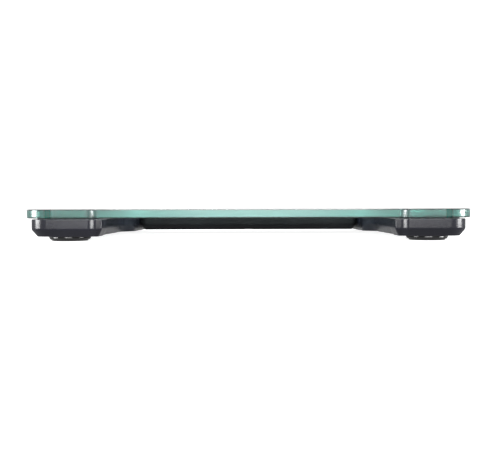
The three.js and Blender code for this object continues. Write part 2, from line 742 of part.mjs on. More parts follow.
// A pan-head screw: the head's face at headZ and the shank above it.
function panScrew(headZ, length) {
  const { radius, headRadius, headHeight, slot } = SCREW;
  const body = turned([
    [0, headZ],
    [headRadius - 0.5, headZ],
    [headRadius, headZ + headHeight],
    [radius, headZ + headHeight],
    [0, headZ + headHeight + length],
  ], SMALL_STEPS);
  return cut(solid(body), block(0, 0, 2 * headRadius - 1.6, slot, headZ - 1, headZ + 0.7));
}

// ---------------------------------------------------------------- assembly

function finish(color, roughness, metalness = 0) {
  return new THREE.MeshStandardMaterial({ color, roughness, metalness });
}

const materials = {
  glass: Object.assign(finish(0xbfe6dc, 0.03), { transparent: true, opacity: 0.45 }),
  bond: finish(0x161617, 0.9),
  shell: finish(0x3a3a42, 0.38),
  centre: finish(0x1c1b1e, 0.45),
  foot: finish(0x18181a, 0.3),
  rubber: finish(0x202022, 0.8),
  steel: finish(0xa9abae, 0.35, 1),
  contact: finish(0xc9c3a4, 0.3, 1),
  board: finish(0x1f5b38, 0.5),
  epoxy: finish(0x0c0c0d, 0.35),
  seal: finish(0xe9e7e0, 0.6),
  lead: finish(0xb02a22, 0.5),
  negativeLead: finish(0x1a1a1a, 0.5),
  window: finish(0x101314, 0.1),
  lcd: finish(0x8b9a86, 0.2),
  guide: finish(0xf2f2ee, 0.25),
  strip: finish(0xd98c9a, 0.7),
  button: finish(0x8a8a8d, 0.5),
};

const scale = new THREE.Group();

function add(parent, name, shape, material) {
  const geometry = shape.isBufferGeometry ? shape : surface(shape);
  const mesh = new THREE.Mesh(geometry, materials[material]);
  mesh.name = name;
  parent.add(mesh);
  return mesh;
}

add(scale, "glass_platform", glassPlatform(), "glass");
add(scale, "bond_center", centreBond(), "bond");
add(scale, "center_housing", centreHousing(), "centre");
add(scale, "center_cover", centreCover(), "centre");
add(scale, "display_window", displayWindow(), "window");
add(scale, "lcd_panel", lcdPanel(), "lcd");
add(scale, "light_guide", lightGuide(), "guide");
add(scale, "backlight_led_bar", ledBar(), "guide");
add(scale, "contact_strip_front", contactStrip(-1), "strip");
add(scale, "contact_strip_back", contactStrip(1), "strip");
add(scale, "main_board", mainBoard(), "board");
add(scale, "controller_chip", controllerChip(), "epoxy");
add(scale, "tact_switch", tactSwitch(), "epoxy");
add(scale, "unit_button", unitButton(), "button");
add(scale, "coin_cell", coinCell(), "steel");
add(scale, "battery_contact_positive", positiveContact(), "contact");
add(scale, "battery_contact_negative", negativeContact(), "contact");
add(scale, "battery_lead_positive", batteryLead(5, coinY + COIN.radius), "lead");
add(scale, "battery_lead_negative", batteryLead(-5, coinY + COIN.radius), "negativeLead");
add(scale, "battery_door", batteryDoor(), "centre");

centreScrews.forEach(([x, y], i) => {
  const screw = add(scale, `center_screw_${i + 1}`, panScrew(centreBottomZ + 1, SCREW.length), "steel");
  screw.position.set(x, y, 0);
});

// Board screws go in from above, so the same screw is turned over.
boardScrews.forEach(([x, y], i) => {
  const screw = add(scale, `board_screw_${i + 1}`, panScrew(0, 2.8), "steel");
  screw.rotation.x = Math.PI;
  screw.position.set(x, y, boardTopZ + SCREW.headHeight + CONTACT);
});

const ends = {
  front: { sign: -1, portY: ports.front, landY: boardFrontY + 4 },
  back: { sign: 1, portY: ports.back, landY: boardFrontY + 14 },
};

for (const [side, sign] of [["left", -1], ["right", 1]]) {
  const rail = new THREE.Group();
  rail.scale.x = sign;
  scale.add(rail);
  add(rail, `bond_${side}`, sideBond(), "bond");
  add(rail, `side_housing_${side}`, sideHousing(), "shell");
  add(rail, `side_cover_${side}`, sideCover(), "shell");
  railScrews.forEach(([x, y], i) => {
    const screw = add(rail, `side_screw_${side}_${i + 1}`, panScrew(railBottomZ + 1, SCREW.length), "steel");
    screw.position.set(x, y, 0);
  });
  for (const [end, place] of Object.entries(ends)) {
    const corner = new THREE.Group();
    corner.position.set(footX, place.sign * footY, 0);
    corner.scale.y = place.sign;
    rail.add(corner);
    add(corner, `foot_body_${end}_${side}`, footBody(), "foot");
    add(corner, `foot_pad_${end}_${side}`, footPad(), "rubber");
    add(corner, `load_cell_${end}_${side}`, loadCell(), "steel");
    add(corner, `gauge_seal_${end}_${side}`, gaugeSeal(), "seal");
    add(rail, `cell_lead_${end}_${side}`, cellLead(place), "lead");
  }
}

export default scale;
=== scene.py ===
"""A digital bathroom scale: a clear glass platform on a black moulded H-shaped base.

Each operator makes one piece, or one group of like pieces, on the packed model's own places.
Lengths are in metres, +Z is up and the front is -Y.
"""

import json
import math

import bmesh
import bpy
from bpy.props import (
    FloatProperty,
    FloatVectorProperty,
    IntProperty,
    PointerProperty,
    StringProperty,
)
from mathutils import Matrix, Vector


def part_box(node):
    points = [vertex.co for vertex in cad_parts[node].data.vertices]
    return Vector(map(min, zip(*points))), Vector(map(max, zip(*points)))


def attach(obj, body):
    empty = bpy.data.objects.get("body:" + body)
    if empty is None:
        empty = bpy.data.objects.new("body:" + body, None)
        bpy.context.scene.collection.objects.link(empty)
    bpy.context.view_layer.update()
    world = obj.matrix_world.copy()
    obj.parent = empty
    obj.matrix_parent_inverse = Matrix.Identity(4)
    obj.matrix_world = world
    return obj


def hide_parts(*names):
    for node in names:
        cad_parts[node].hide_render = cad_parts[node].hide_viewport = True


bl_info = {
    "name": "Bathroom Scale",
    "version": (1, 0, 0),
    "blender": (4, 5, 0),
    "location": "3D View > Sidebar > Scale",
    "description": "Builds a glass bathroom scale on its packed frame",
    "category": "Add Mesh",
}

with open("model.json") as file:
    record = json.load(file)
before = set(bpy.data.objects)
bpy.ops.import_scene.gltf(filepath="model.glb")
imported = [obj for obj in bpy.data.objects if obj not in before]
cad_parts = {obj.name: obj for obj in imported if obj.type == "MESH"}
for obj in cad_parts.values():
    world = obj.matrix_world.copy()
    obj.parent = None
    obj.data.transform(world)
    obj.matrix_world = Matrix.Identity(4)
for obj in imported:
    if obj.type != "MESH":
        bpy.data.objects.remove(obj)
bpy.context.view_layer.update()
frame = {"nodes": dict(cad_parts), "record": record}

MM = 0.001
SIDES = ("left", "right")
ENDS = ("front", "back")
BOSS_RADIUS = 3.75 * MM
POST_RADIUS = 4.4 * MM
BORE_RADIUS = 1.35 * MM
BOND_DEPTH = 0.02 * MM
BAR_HEIGHT = 0.02 * MM


# ---------------------------------------------------------------- sizes and colours


def length(name, description, value):
    """A length that the user can set, in metres from a default in millimetres."""
    default = value * MM
    return FloatProperty(name=name, description=description, default=default, unit="LENGTH")


def colour(name, description, value):
    """A linear colour that the user can set."""
    return FloatVectorProperty(
        name=name, description=description, default=value, subtype="COLOR", size=3, min=0, max=1
    )


class ScalePlatformSizes(bpy.types.PropertyGroup):
    """The glass platform's outline and edges."""

    corner: length("Corner radius", "Radius of the platform's corners", 16)
    arris: length("Arris", "Width of the eased edge", 0.7)
    recess: length("Edge recess", "How far the sides stand back between the corner lobes", 3.5)
    bend: length("Bend", "Length of the bend from lobe to side", 7)
    lobe: length("Lobe", "Length of a lobe along its side", 43)


class ScaleShellSizes(bpy.types.PropertyGroup):
    """The moulded base's outlines, walls and edges."""

    overhang: length("Overhang", "Glass past the shells", 3)
    wall: length("Wall", "Thickness of the mouldings", 1.8)
    taper: length("Taper", "How far the lower shells draw in", 4.1)
    pod: length("Pod", "Width of a rail at its feet, from the platform's edge", 52)
    waist: length("Waist", "How much narrower than the pods a rail's waist is", 4.5)
    bulge: length("Bulge", "How much wider than the pods a rail's bulge is", 3.5)
    roof_edge: length("Roof edge", "Radius of the upper shells' top edge", 0.55)
    parting_edge: length("Parting edge", "Radius of the edges at the parting line", 0.18)
    corner: length("Centre corner", "Radius of the centre module's corners", 6)


class ScaleDetailSizes(bpy.types.PropertyGroup):
    """Feet, screws and the display."""

    stud: length("Stud", "Radius of a rubber pad's studs", 0.62)
    stud_pitch: length("Stud pitch", "Distance between a pad's studs", 1.9)
    stud_height: length("Stud height", "How far the studs stand out", 0.45)
    digit: length("Digit", "Height of the display's digits", 21)
    stroke: length("Stroke", "Width of a digit's bars", 2.7)
    turn_seed: IntProperty(name="Turn seed", description="Seed of the screws' turn", default=7)
    reading: StringProperty(name="Reading", description="What the display shows", default=" 0.0")


class ScaleColours(bpy.types.PropertyGroup):
    """The finishes' own colours."""

    glass: colour("Glass", "What the glass lets through", (0.93, 0.978, 0.965))
    rail: colour("Rails", "Satin moulding of the rails", (0.010, 0.0103, 0.0165))
    centre: colour("Centre", "Moulding of the centre module", (0.008, 0.0078, 0.009))
    foot: colour("Feet", "Polished moulding of the feet", (0.005, 0.005, 0.006))
    rubber: colour("Rubber", "Pads under the feet", (0.017, 0.017, 0.018))
    display: colour("Display", "Ground of the display", (0.33, 0.38, 0.29))


class ScaleStageSettings(bpy.types.PropertyGroup):
    """Floor, light and camera."""

    distance: FloatProperty(
        name="Camera distance",
        description="From the camera to the platform's front edge",
        default=0.51,
        unit="LENGTH",
    )
    lens: FloatProperty(name="Lens", description="Focal length in millimetres", default=56.1)
    shift: FloatProperty(name="Shift", description="Upward shift of the view", default=-0.0312)
    roll: FloatProperty(
        name="Roll",
        description="Turn of the camera about its view",
        default=0.0026,
        unit="ROTATION",
    )


# ---------------------------------------------------------------- places, from the packed model

glass_low, glass_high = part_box("glass_platform")
roof_low, roof_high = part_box("side_housing_right")
tray_low, tray_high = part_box("side_cover_right")
centre_low, centre_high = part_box("center_housing")
centre_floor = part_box("center_cover")[0].z
window_low, window_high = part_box("display_window")
panel_low, panel_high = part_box("lcd_panel")

HALF_WIDTH = glass_high.x
HALF_DEPTH = glass_high.y
CENTRE_HALF = centre_high.x
CENTRE_FRONT = centre_low.y
CENTRE_BACK = centre_high.y
PARTING = roof_low.z
TRAY_TOP = tray_high.z
ROOF = roof_high.z
FLOOR = tray_low.z


def middle(node):
    """The middle of a node's box."""
    low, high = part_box(node)
    return (low + high) / 2


def round_place(node):
    """A round node's lowest and highest corners, its middle and its radius."""
    low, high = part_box(node)
    return low, high, middle(node), (high.x - low.x) / 2


# ---------------------------------------------------------------- outlines

CORNER_STEPS = 14
BEND_STEPS = 12
FILLET_STEPS = 5


def arc(x, y, radius, start, end, steps=CORNER_STEPS):
    """Points on a circle's arc, from one angle in degrees to another."""
    angles = [math.radians(start + (end - start) * i / steps) for i in range(steps + 1)]
    return [Vector((x + radius * math.cos(a), y + radius * math.sin(a))) for a in angles]


def bend(start, end, axis):
    """A soft S between two points, which leaves and arrives along an axis."""
    reach = 0.42
    across = Vector((1, 0)) if axis == "x" else Vector((0, 1))
    handle = across * (end - start).dot(across) * reach
    a, b = start + handle, end - handle
    points = []
    for i in range(BEND_STEPS + 1):
        t = i / BEND_STEPS
        u = 1 - t
        points.append(u**3 * start + 3 * u * u * t * a + 3 * u * t * t * b + t**3 * end)
    return points


def tidy(points):
    """The same closed outline with its doubled points taken out."""
    return [p for i, p in enumerate(points) if (p - points[i - 1]).length > 1e-7]


def bend_span(half, inset, sizes):
    """Where an edge's bend starts and ends, measured from the edge's middle."""
    shift = inset * math.tan(math.atan(sizes.recess / sizes.bend) / 2)
    outer = half - sizes.lobe + shift
    return outer, outer - sizes.bend


def platform_outline(inset):
    """The platform's outline drawn in by an inset, anticlockwise."""
    sizes = bpy.context.scene.scale_platform
    radius = sizes.corner - inset
    points = []
    for quarter in range(4):
        half, away = (HALF_WIDTH, HALF_DEPTH) if quarter % 2 == 0 else (HALF_DEPTH, HALF_WIDTH)
        outer, inner = bend_span(half, inset, sizes)
        end, edge = half - inset, away - inset
        side = [
            *bend(Vector((-outer, -edge)), Vector((-inner, sizes.recess - edge)), "x"),
            *bend(Vector((inner, sizes.recess - edge)), Vector((outer, -edge)), "x"),
            *arc(end - radius, radius - edge, radius, -90, 0),
        ]
        turn = Matrix.Rotation(quarter * math.pi / 2, 2)
        points += [turn @ p for p in side]
    return tidy(points)


def rail_outline(taper, wall):
    """The right-hand rail's outline. A wall draws in all of it, and a taper its inside less."""
    sizes = bpy.context.scene.scale_platform
    shell = bpy.context.scene.scale_shell
    inset = shell.overhang + taper + wall
    out_x, out_y = HALF_WIDTH - inset, HALF_DEPTH - inset
    in_x, in_y = out_x - sizes.recess, out_y - sizes.recess
    radius = sizes.corner - inset
    across = bend_span(HALF_WIDTH, inset, sizes)
    along = bend_span(HALF_DEPTH, inset, sizes)
    pod_x = HALF_WIDTH - shell.pod
    pod = pod_x + 0.75 * taper + wall
    waist = pod_x + shell.waist + 0.3 * taper + wall
    tip = pod_x - shell.bulge + 0.1 * taper + wall
    tip_front = CENTRE_FRONT - 23 * MM + wall
    tip_back = CENTRE_BACK + 2 * MM - wall
    pod_end = HALF_DEPTH - 22 * MM
    nose = 1.4 * MM
    right = [
        *arc(pod + nose, nose - in_y, nose, 180, 270, 5),
        *bend(Vector((across[1], -in_y)), Vector((across[0], -out_y)), "x"),
        *arc(out_x - radius, radius - out_y, radius, -90, 0),
        *bend(Vector((out_x, -along[0])), Vector((in_x, -along[1])), "y"),
        *bend(Vector((in_x, along[1])), Vector((out_x, along[0])), "y"),
        *arc(out_x - radius, out_y - radius, radius, 0, 90),
        *bend(Vector((across[0], out_y)), Vector((across[1], in_y)), "x"),
        *arc(pod + nose, in_y - nose, nose, 90, 180, 5),
        *bend(Vector((pod, pod_end)), Vector((tip, tip_back)), "y"),
        *bend(Vector((tip, tip_front)), Vector((waist, tip_front - 19 * MM)), "y"),
        *bend(Vector((waist, 30 * MM - pod_end)), Vector((pod, -pod_end)), "y"),
    ]
    return tidy(right)


def rounded_outline(x0, x1, y0, y1, radius, steps=8):
    """A rectangle with round corners, anticlockwise."""
    return tidy(
        [
            *arc(x1 - radius, y0 + radius, radius, -90, 0, steps),
            *arc(x1 - radius, y1 - radius, radius, 0, 90, steps),
            *arc(x0 + radius, y1 - radius, radius, 90, 180, steps),
            *arc(x0 + radius, y0 + radius, radius, 180, 270, steps),
        ]
    )


def grown_box(low, high, gap, radius):
    """The outline of a box seen from above, with a gap round it and round corners."""
    return rounded_outline(low.x - gap, high.x + gap, low.y - gap, high.y + gap, radius)


def centre_outline(taper, wall):
    """The centre module's outline, drawn in."""
    inset = taper + wall
    radius = max(bpy.context.scene.scale_shell.corner - inset, 1 * MM)
    x = CENTRE_HALF - inset
    return rounded_outline(-x, x, CENTRE_FRONT + inset, CENTRE_BACK - inset, radius)


def soften(corners, steps=FILLET_STEPS):
    """The path through corners, each a point and a radius, with every inner corner rounded."""
    path = []
    for i, (point, radius) in enumerate(corners):
        point = Vector(point)
        if radius == 0 or i in (0, len(corners) - 1):
            path.append(point)
            continue
        before = Vector(corners[i - 1][0]) - point
        after = Vector(corners[i + 1][0]) - point
        a = point + before.normalized() * min(radius, before.length / 2)
        b = point + after.normalized() * min(radius, after.length / 2)
        for step in range(steps + 1):
            t = step / steps
            path.append((1 - t) ** 2 * a + 2 * t * (1 - t) * point + t * t * b)
    return path


# ---------------------------------------------------------------- mesh work


def linked(name, data):
    """A new object of its data, in the scene."""
    made = bpy.data.objects.new(name, data)
    bpy.context.scene.collection.objects.link(made)
    return made


def mesh_object(name, bm):
    """An object of a bmesh at the origin, its doubles merged and its faces turned outwards."""
    bmesh.ops.remove_doubles(bm, verts=bm.verts, dist=1e-7)
    bmesh.ops.recalc_face_normals(bm, faces=bm.faces)
    mesh = bpy.data.meshes.new(name)
    bm.to_mesh(mesh)
    bm.free()
    return linked(name, mesh)


def loft(name, rings):
    """A solid through rings of the same number of points, each a list of 3D points."""
    bm = bmesh.new()
    rows = [[bm.verts.new(p) for p in ring] for ring in rings]
    for low, high in zip(rows, rows[1:]):
        for i in range(len(low)):
            j = (i + 1) % len(low)
            bm.faces.new((low[i], low[j], high[j], high[i]))
    bm.faces.new(rows[0])
    bm.faces.new(rows[-1])
    return mesh_object(name, bm)


def flat_ring(outline, z):
    """A ring of 3D points: an outline at one height."""
    return [(p.x, p.y, z) for p in outline]


def prism(name, outline, z0, z1):
    """An upright solid on an outline."""
    return loft(name, [flat_ring(outline, z0), flat_ring(outline, z1)])


def turned(name, corners, place=(0, 0), steps=64):
    """A turned solid about an upright axis: each corner is a (radius, height) and a rounding.

    A profile that starts or ends away from the axis is closed straight across to it.
    """
    (first, bottom), (last, top) = corners[0][0], corners[-1][0]
    start = [((0, bottom), 0)] if first > 0 else []
    end = [((0, top), 0)] if last > 0 else []
    corners = start + corners + end
    bm = bmesh.new()
    rows = []
    for radius, z in soften(corners):
        if radius < 1e-7:
            rows.append([bm.verts.new((place[0], place[1], z))])
            continue
        ring = []
        for i in range(steps):
            angle = 2 * math.pi * i / steps
            x, y = place[0] + radius * math.cos(angle), place[1] + radius * math.sin(angle)
            ring.append(bm.verts.new((x, y, z)))
        rows.append(ring)
    for low, high in zip(rows, rows[1:]):
        for i in range(steps):
            j = (i + 1) % steps
            around = [(low, i), (low, j), (high, j), (high, i)]
            bm.faces.new(list(dict.fromkeys(row[k % len(row)] for row, k in around)))
    return mesh_object(name, bm)


def slab(name, x0, x1, y0, y1, z0, z1, corner=0.3 * MM, edge=0.12 * MM):
    """A flat block with round corners and eased edges."""
    corner = min(corner, (x1 - x0) / 2.01, (y1 - y0) / 2.01)
    edge = min(edge, corner * 0.8)
    grow = soften(
        [((2 * edge, z0), 0), ((0, z0), edge), ((0, z1), edge), ((2 * edge, z1), 0)], steps=3
    )
    rings = []
    for inset, z in grow:
        inset = min(inset, edge)
        radius = max(corner - inset, 0.02 * MM)
        outline = rounded_outline(x0 + inset, x1 - inset, y0 + inset, y1 - inset, radius, 4)
        rings.append(flat_ring(outline, z))
    return loft(name, rings)


def join(name, objects):
    """One object of several, each of which stays its own closed surface."""
    bm = bmesh.new()
    for part in objects:
        bm.from_mesh(part.data)
        discard(part)
    return mesh_object(name, bm)


def discard(part):
    """Removes an object and its mesh."""
    mesh = part.data
    bpy.data.objects.remove(part)
    bpy.data.meshes.remove(mesh)


def baked(part):
    """The object with its modifiers worked into a plain mesh."""
    depsgraph = bpy.context.evaluated_depsgraph_get()
    mesh = bpy.data.meshes.new_from_object(part.evaluated_get(depsgraph))
    old = part.data
    part.modifiers.clear()
    part.data = mesh
    bpy.data.meshes.remove(old)
    return part


def combine(part, tools, operation):
    """Adds or cuts closed tools, one after another, and removes them."""
    for tool in tools:
        modifier = part.modifiers.new("Combine", "BOOLEAN")
        modifier.operation = operation
        modifier.solver = "EXACT"
        modifier.object = tool
        tool.hide_render = True
    baked(part)
    for tool in tools:
        discard(tool)
    return part


def smooth(part, angle=32):
    """Smooth shading, with edges sharper than an angle kept and flat faces kept flat."""
    part.data.polygons.foreach_set("use_smooth", [True] * len(part.data.polygons))
    part.data.set_sharp_from_angle(angle=math.radians(angle))
    modifier = part.modifiers.new("Flat faces", "WEIGHTED_NORMAL")
    modifier.keep_sharp = True
    modifier.weight = 80
    return part


def mirrored(part, name):
    """A copy of the object on the other side of the part's middle."""
    bm = bmesh.new()
    bm.from_mesh(part.data)
    bmesh.ops.scale(bm, vec=(-1, 1, 1), verts=bm.verts)
    return mesh_object(name, bm)


def copied(node, top):
    """A merged copy of a packed node's solid, raised so that its top is at a height."""
    source = frame["nodes"][node]
    bm = bmesh.new()
    bm.from_mesh(source.data)
    bm.transform(source.matrix_world)
    bmesh.ops.translate(bm, verts=bm.verts, vec=(0, 0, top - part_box(node)[1].z))
    return mesh_object("copy", bm)


def place_piece(part, body, nodes, slot, *more):
    """Gives a finished piece its slot's finish, any more, and its place in the packed model."""
    part.data.materials.clear()
    for name in (slot, *more):
        part.data.materials.append(finish_of(name))
    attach(part, body)
    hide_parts(*nodes)
    return part


# ---------------------------------------------------------------- shader tools


class NodeMaker:
    """Adds nodes and links to one tree."""

    def __init__(self, tree):
        self.tree = tree

    def node(self, kind, settings=None, inputs=None):
        """A node of any type: its settings first, and then its sockets' values or links."""
        made = self.tree.nodes.new(kind)
        for name, value in (settings or {}).items():
            setattr(made, name, value)
        for name, value in (inputs or {}).items():
            value = value.socket if isinstance(value, Signal) else value
            if isinstance(value, bpy.types.NodeSocket):
                self.tree.links.new(value, made.inputs[name])
            else:
                made.inputs[name].default_value = value
        return made


class Signal:
    """A number that changes over a surface. Arithmetic on it adds Math nodes."""

    def __init__(self, paint, socket):
        self.paint = paint
        self.socket = socket

    def maths(self, operation, *values):
        """A Math node on any signals and numbers."""
        inputs = dict(enumerate(values))
        made = self.paint.node("ShaderNodeMath", {"operation": operation}, inputs)
        return Signal(self.paint, made.outputs[0])

    def __add__(self, other):
        return self.maths("ADD", self, other)

    __radd__ = __add__

    def __sub__(self, other):
        return self.maths("SUBTRACT", self, other)

    def __rsub__(self, other):
        return self.maths("SUBTRACT", other, self)

    def __mul__(self, other):
        return self.maths("MULTIPLY", self, other)

    __rmul__ = __mul__

    def __abs__(self):
        return self.maths("ABSOLUTE", self)

    def wave(self):
        """Its sine."""
        return self.maths("SINE", self)

    def step(self, low, high):
        """0 below low and 1 above high, with a soft rise between."""
        made = self.paint.node(
            "ShaderNodeMapRange",
            {"interpolation_type": "SMOOTHSTEP"},
            {"Value": self, "From Min": low, "From Max": high},
        )
        return Signal(self.paint, made.outputs[0])


class Paint(NodeMaker):
    """One procedural material: its tree, its Principled shader and what feeds it."""

    def __init__(self, name, color, roughness, metallic=0.0, **uniform):
        self.material = bpy.data.materials.new(name)
        self.material.use_nodes = True
        super().__init__(self.material.node_tree)
        self.shader = self.tree.nodes["Principled BSDF"]
        self.output = self.tree.nodes["Material Output"]
        self.shader.inputs["Base Color"].default_value = (*color, 1)
        self.shader.inputs["Roughness"].default_value = roughness
        self.shader.inputs["Metallic"].default_value = metallic
        for key, value in uniform.items():
            socket = key.replace("_", " ").title().replace("Ior", "IOR")
            self.shader.inputs[socket].default_value = value
        self.normal = None
        self.coordinates = self.node("ShaderNodeTexCoord").outputs["Object"]

    def at(self, axis):
        """The place along one axis, in metres."""
        made = self.node("ShaderNodeSeparateXYZ", inputs={"Vector": self.coordinates})
        return Signal(self, made.outputs[axis])

    def stretched(self, x, y, z):
        """The coordinates scaled unevenly, for a pattern with a direction."""
        return self.node(
            "ShaderNodeMapping", inputs={"Vector": self.coordinates, "Scale": (x, y, z)}
        ).outputs[0]

    def band(self, value, centre, half):
        """1 at a centre, falling softly to 0 at a half width from it."""
        return 1 - abs(value - centre).step(half * 0.3, half)

    def noise(self, scale, detail=2.0, vector=None):
        """Fractal noise, about 0 to 1."""
        inputs = {"Vector": vector or self.coordinates, "Scale": scale, "Detail": detail}
        return Signal(self, self.node("ShaderNodeTexNoise", inputs=inputs).outputs[0])

    def cells(self, scale):
        """Distance to the nearest of scattered points, for grain and specks."""
        inputs = {"Vector": self.coordinates, "Scale": scale}
        return Signal(self, self.node("ShaderNodeTexVoronoi", inputs=inputs).outputs[0])

    def mix(self, share, first, second):
        """Two colours mixed by a share."""
        inputs = {0: share, 6: self.as_colour(first), 7: self.as_colour(second)}
        return self.node("ShaderNodeMix", {"data_type": "RGBA"}, inputs).outputs[2]

    @staticmethod
    def as_colour(value):
        """A colour's socket as it is, or its three numbers with an alpha of 1."""
        return value if isinstance(value, bpy.types.NodeSocket) else (*value, 1)

    def feed(self, socket, value):
        """Links a signal or colour to one of the shader's sockets."""
        value = value.socket if isinstance(value, Signal) else value
        self.tree.links.new(value, self.shader.inputs[socket])
        return self

    def tinted(self, share, first, second):
        """Feeds the base colour with two colours mixed by a share."""
        return self.feed("Base Color", self.mix(share, first, second))

    def bump(self, height, distance):
        """Adds relief: a height signal, and the depth in metres that 1 stands for."""
        inputs = {"Height": height, "Distance": distance}
        if self.normal:
            inputs["Normal"] = self.normal
        self.normal = self.node("ShaderNodeBump", inputs=inputs).outputs[0]
        return self.feed("Normal", self.normal)

    def textured(self, pattern, low, spread, relief=0.0):
        """Lets one pattern feed the roughness and, by its depth in metres, the relief."""
        self.feed("Roughness", low + pattern * spread)
        if relief:
            self.bump(pattern, relief)
        return self.material

    def shader_mix(self, share, first, second):
        """Two shaders mixed by a share."""
        inputs = {0: share, 1: first, 2: second}
        return self.node("ShaderNodeMixShader", inputs=inputs).outputs[0]

    def finish_with(self, shader):
        """Puts a shader in the place of the plain Principled one."""
        self.tree.links.new(shader, self.output.inputs["Surface"])


# ---------------------------------------------------------------- finishes


def shade(tint, factor, lift=0.0):
    """A colour made darker or paler."""
    return tuple(min(1, c * factor + lift) for c in tint)


def glass_finish(name, tint):
    """Float glass: clear faces, a ground edge, and a green that grows with depth. The edge's
    colour holds painted shade and a painted reflection.
    """
    paint = Paint(name, tint, 0.0, transmission_weight=1.0, ior=1.52, coat_roughness=0.04)
    smear = paint.noise(14, 3).step(0.52, 0.8)
    height = paint.at("Z")
    near, deep = 0.05 * MM, 0.15 * MM
    ground = height.step(glass_low.z + near, glass_low.z + deep)
    ground = ground - height.step(glass_high.z - deep, glass_high.z - near)
    streaks = paint.noise(500, 3, paint.stretched(1, 1, 0.1))
    paint.feed("Roughness", smear * 0.012 + ground * (streaks * 0.1 + 0.26))

    across, along = abs(paint.at("X")), abs(paint.at("Y"))
    # Painted shade: the edge is painted a darker green over the corner lobes, where the dark pods
    # beneath shade it.
    lobes = across.step(0.03, 0.105) * along.step(0.03, 0.105)
    edge = paint.mix(lobes, (0.8, 0.75, 0.775), (0.34, 0.56, 0.54))
    # Painted shade: a dark green stripe painted on the edge where each corner turns.
    turn_at, turn_half = 0.1324, 3.2 * MM
    turn = paint.band(across, turn_at, turn_half) + paint.band(along, turn_at, turn_half)
    edge = paint.mix(turn * 1.5, edge, (0.0, 0.12, 0.09))
    # Painted reflection: a grey band painted on the edge at each bend, where the bends reflect the
    # side lights.
    bend_at, bend_half = 0.1045, 6 * MM
    painted_bend_reflection = paint.band(across, bend_at, bend_half) + paint.band(along, bend_at, bend_half)
    edge = paint.mix(painted_bend_reflection * 0.7, edge, (0.42, 0.44, 0.47))
    # The edge colour, with its painted shade and painted reflection, goes on the ground edge.
    paint.tinted(ground, tint, edge)
    paint.feed("Coat Weight", ground * (0.5 - turn * 0.5 - painted_bend_reflection * 0.35))

    depth = {"Color": (0.36, 0.8, 0.73, 1), "Density": 6.0}
    absorb = paint.node("ShaderNodeVolumeAbsorption", inputs=depth).outputs[0]
    paint.tree.links.new(absorb, paint.output.inputs["Volume"])
    shadow = paint.node("ShaderNodeLightPath").outputs["Is Shadow Ray"]
    clear = paint.node("ShaderNodeBsdfTransparent", inputs={"Color": (0.8, 0.88, 0.86, 1)})
    paint.finish_with(paint.shader_mix(shadow, paint.shader.outputs[0], clear.outputs[0]))
    return paint.material


def moulded_finish(name, tint, roughness, level=0.5):
    """Moulded ABS: fine spark-eroded grain, a slow cloudiness and faint flow marks."""
    paint = Paint(name, tint, roughness, specular_ior_level=level)
    flow = paint.noise(22, 3)
    fine = paint.cells(2600)
    cloud = paint.noise(140, 4)
    pale = shade(tint, 1.3, 0.002)
    deep = shade(tint, 0.82)
    paint.tinted(flow.step(0.3, 0.75), deep, pale)
    paint.feed("Roughness", roughness + (cloud - 0.5) * 0.14 + fine * 0.05)
    paint.bump(fine, 0.0072 * MM)
    paint.bump(cloud, 0.018 * MM)
    return paint.material


def polished_finish(name, tint):
    """Polished black ABS: a faint orange peel and hairline scuffs."""
    paint = Paint(name, tint, 0.16, specular_ior_level=0.9)
    peel = paint.noise(260, 2)
    scuff = paint.noise(90, 5, paint.stretched(1, 14, 3)).step(0.56, 0.72)
    paint.feed("Roughness", 0.1 + scuff * 0.16)
    paint.tinted(scuff * 0.35, tint, (0.02, 0.02, 0.021))
    paint.bump(peel, 0.02 * MM)
    return paint.material


def rubber_finish(name, tint):
    """Soft rubber: matt, with pores and grey dust."""
    paint = Paint(name, tint, 0.8, specular_ior_level=0.35)
    pores = paint.cells(1500)
    dust = paint.noise(180, 5).step(0.5, 0.78)
    paint.tinted(dust * 0.5, tint, (0.12, 0.115, 0.105))
    paint.feed("Roughness", 0.72 + dust * 0.2)
    paint.bump(pores, 0.05 * MM)
    return paint.material


def adhesive_finish(name):
    """Black adhesive wetted onto the glass, a little cloudy."""
    paint = Paint(name, (0.012, 0.012, 0.013), 0.5, specular_ior_level=0.2)
    cloud = paint.noise(60, 4)
    dark, pale = (0.009, 0.009, 0.01), (0.014, 0.014, 0.015)
    paint.tinted(cloud.step(0.4, 0.8), dark, pale)
    return paint.textured(cloud, 0.4, 0.3)


def foam_finish(name):
    """Closed-cell adhesive foam."""
    paint = Paint(name, (0.02, 0.02, 0.021), 0.9, specular_ior_level=0.25)
    cells = paint.cells(1800)
    dark, pale = (0.014, 0.014, 0.015), (0.04, 0.04, 0.042)
    paint.tinted(cells.step(0.1, 0.6), dark, pale)
    paint.bump(cells, 0.08 * MM)
    return paint.material


def metal_finish(name, tint, roughness, direction=(1, 26, 1)):
    """Rolled or plated metal: brushed one way, with cloudy plating and fine scratches."""
    paint = Paint(name, tint, roughness, 1.0)
    brushed = paint.noise(240, 4, paint.stretched(*direction))
    cloud = paint.noise(120, 3)
    dull = shade(tint, 0.72)
    paint.tinted(cloud.step(0.35, 0.75) * 0.6, tint, dull)
    paint.feed("Roughness", roughness + (brushed - 0.5) * 0.25 + cloud.step(0.55, 0.8) * 0.1)
    paint.bump(brushed, 0.005 * MM)
    return paint.material


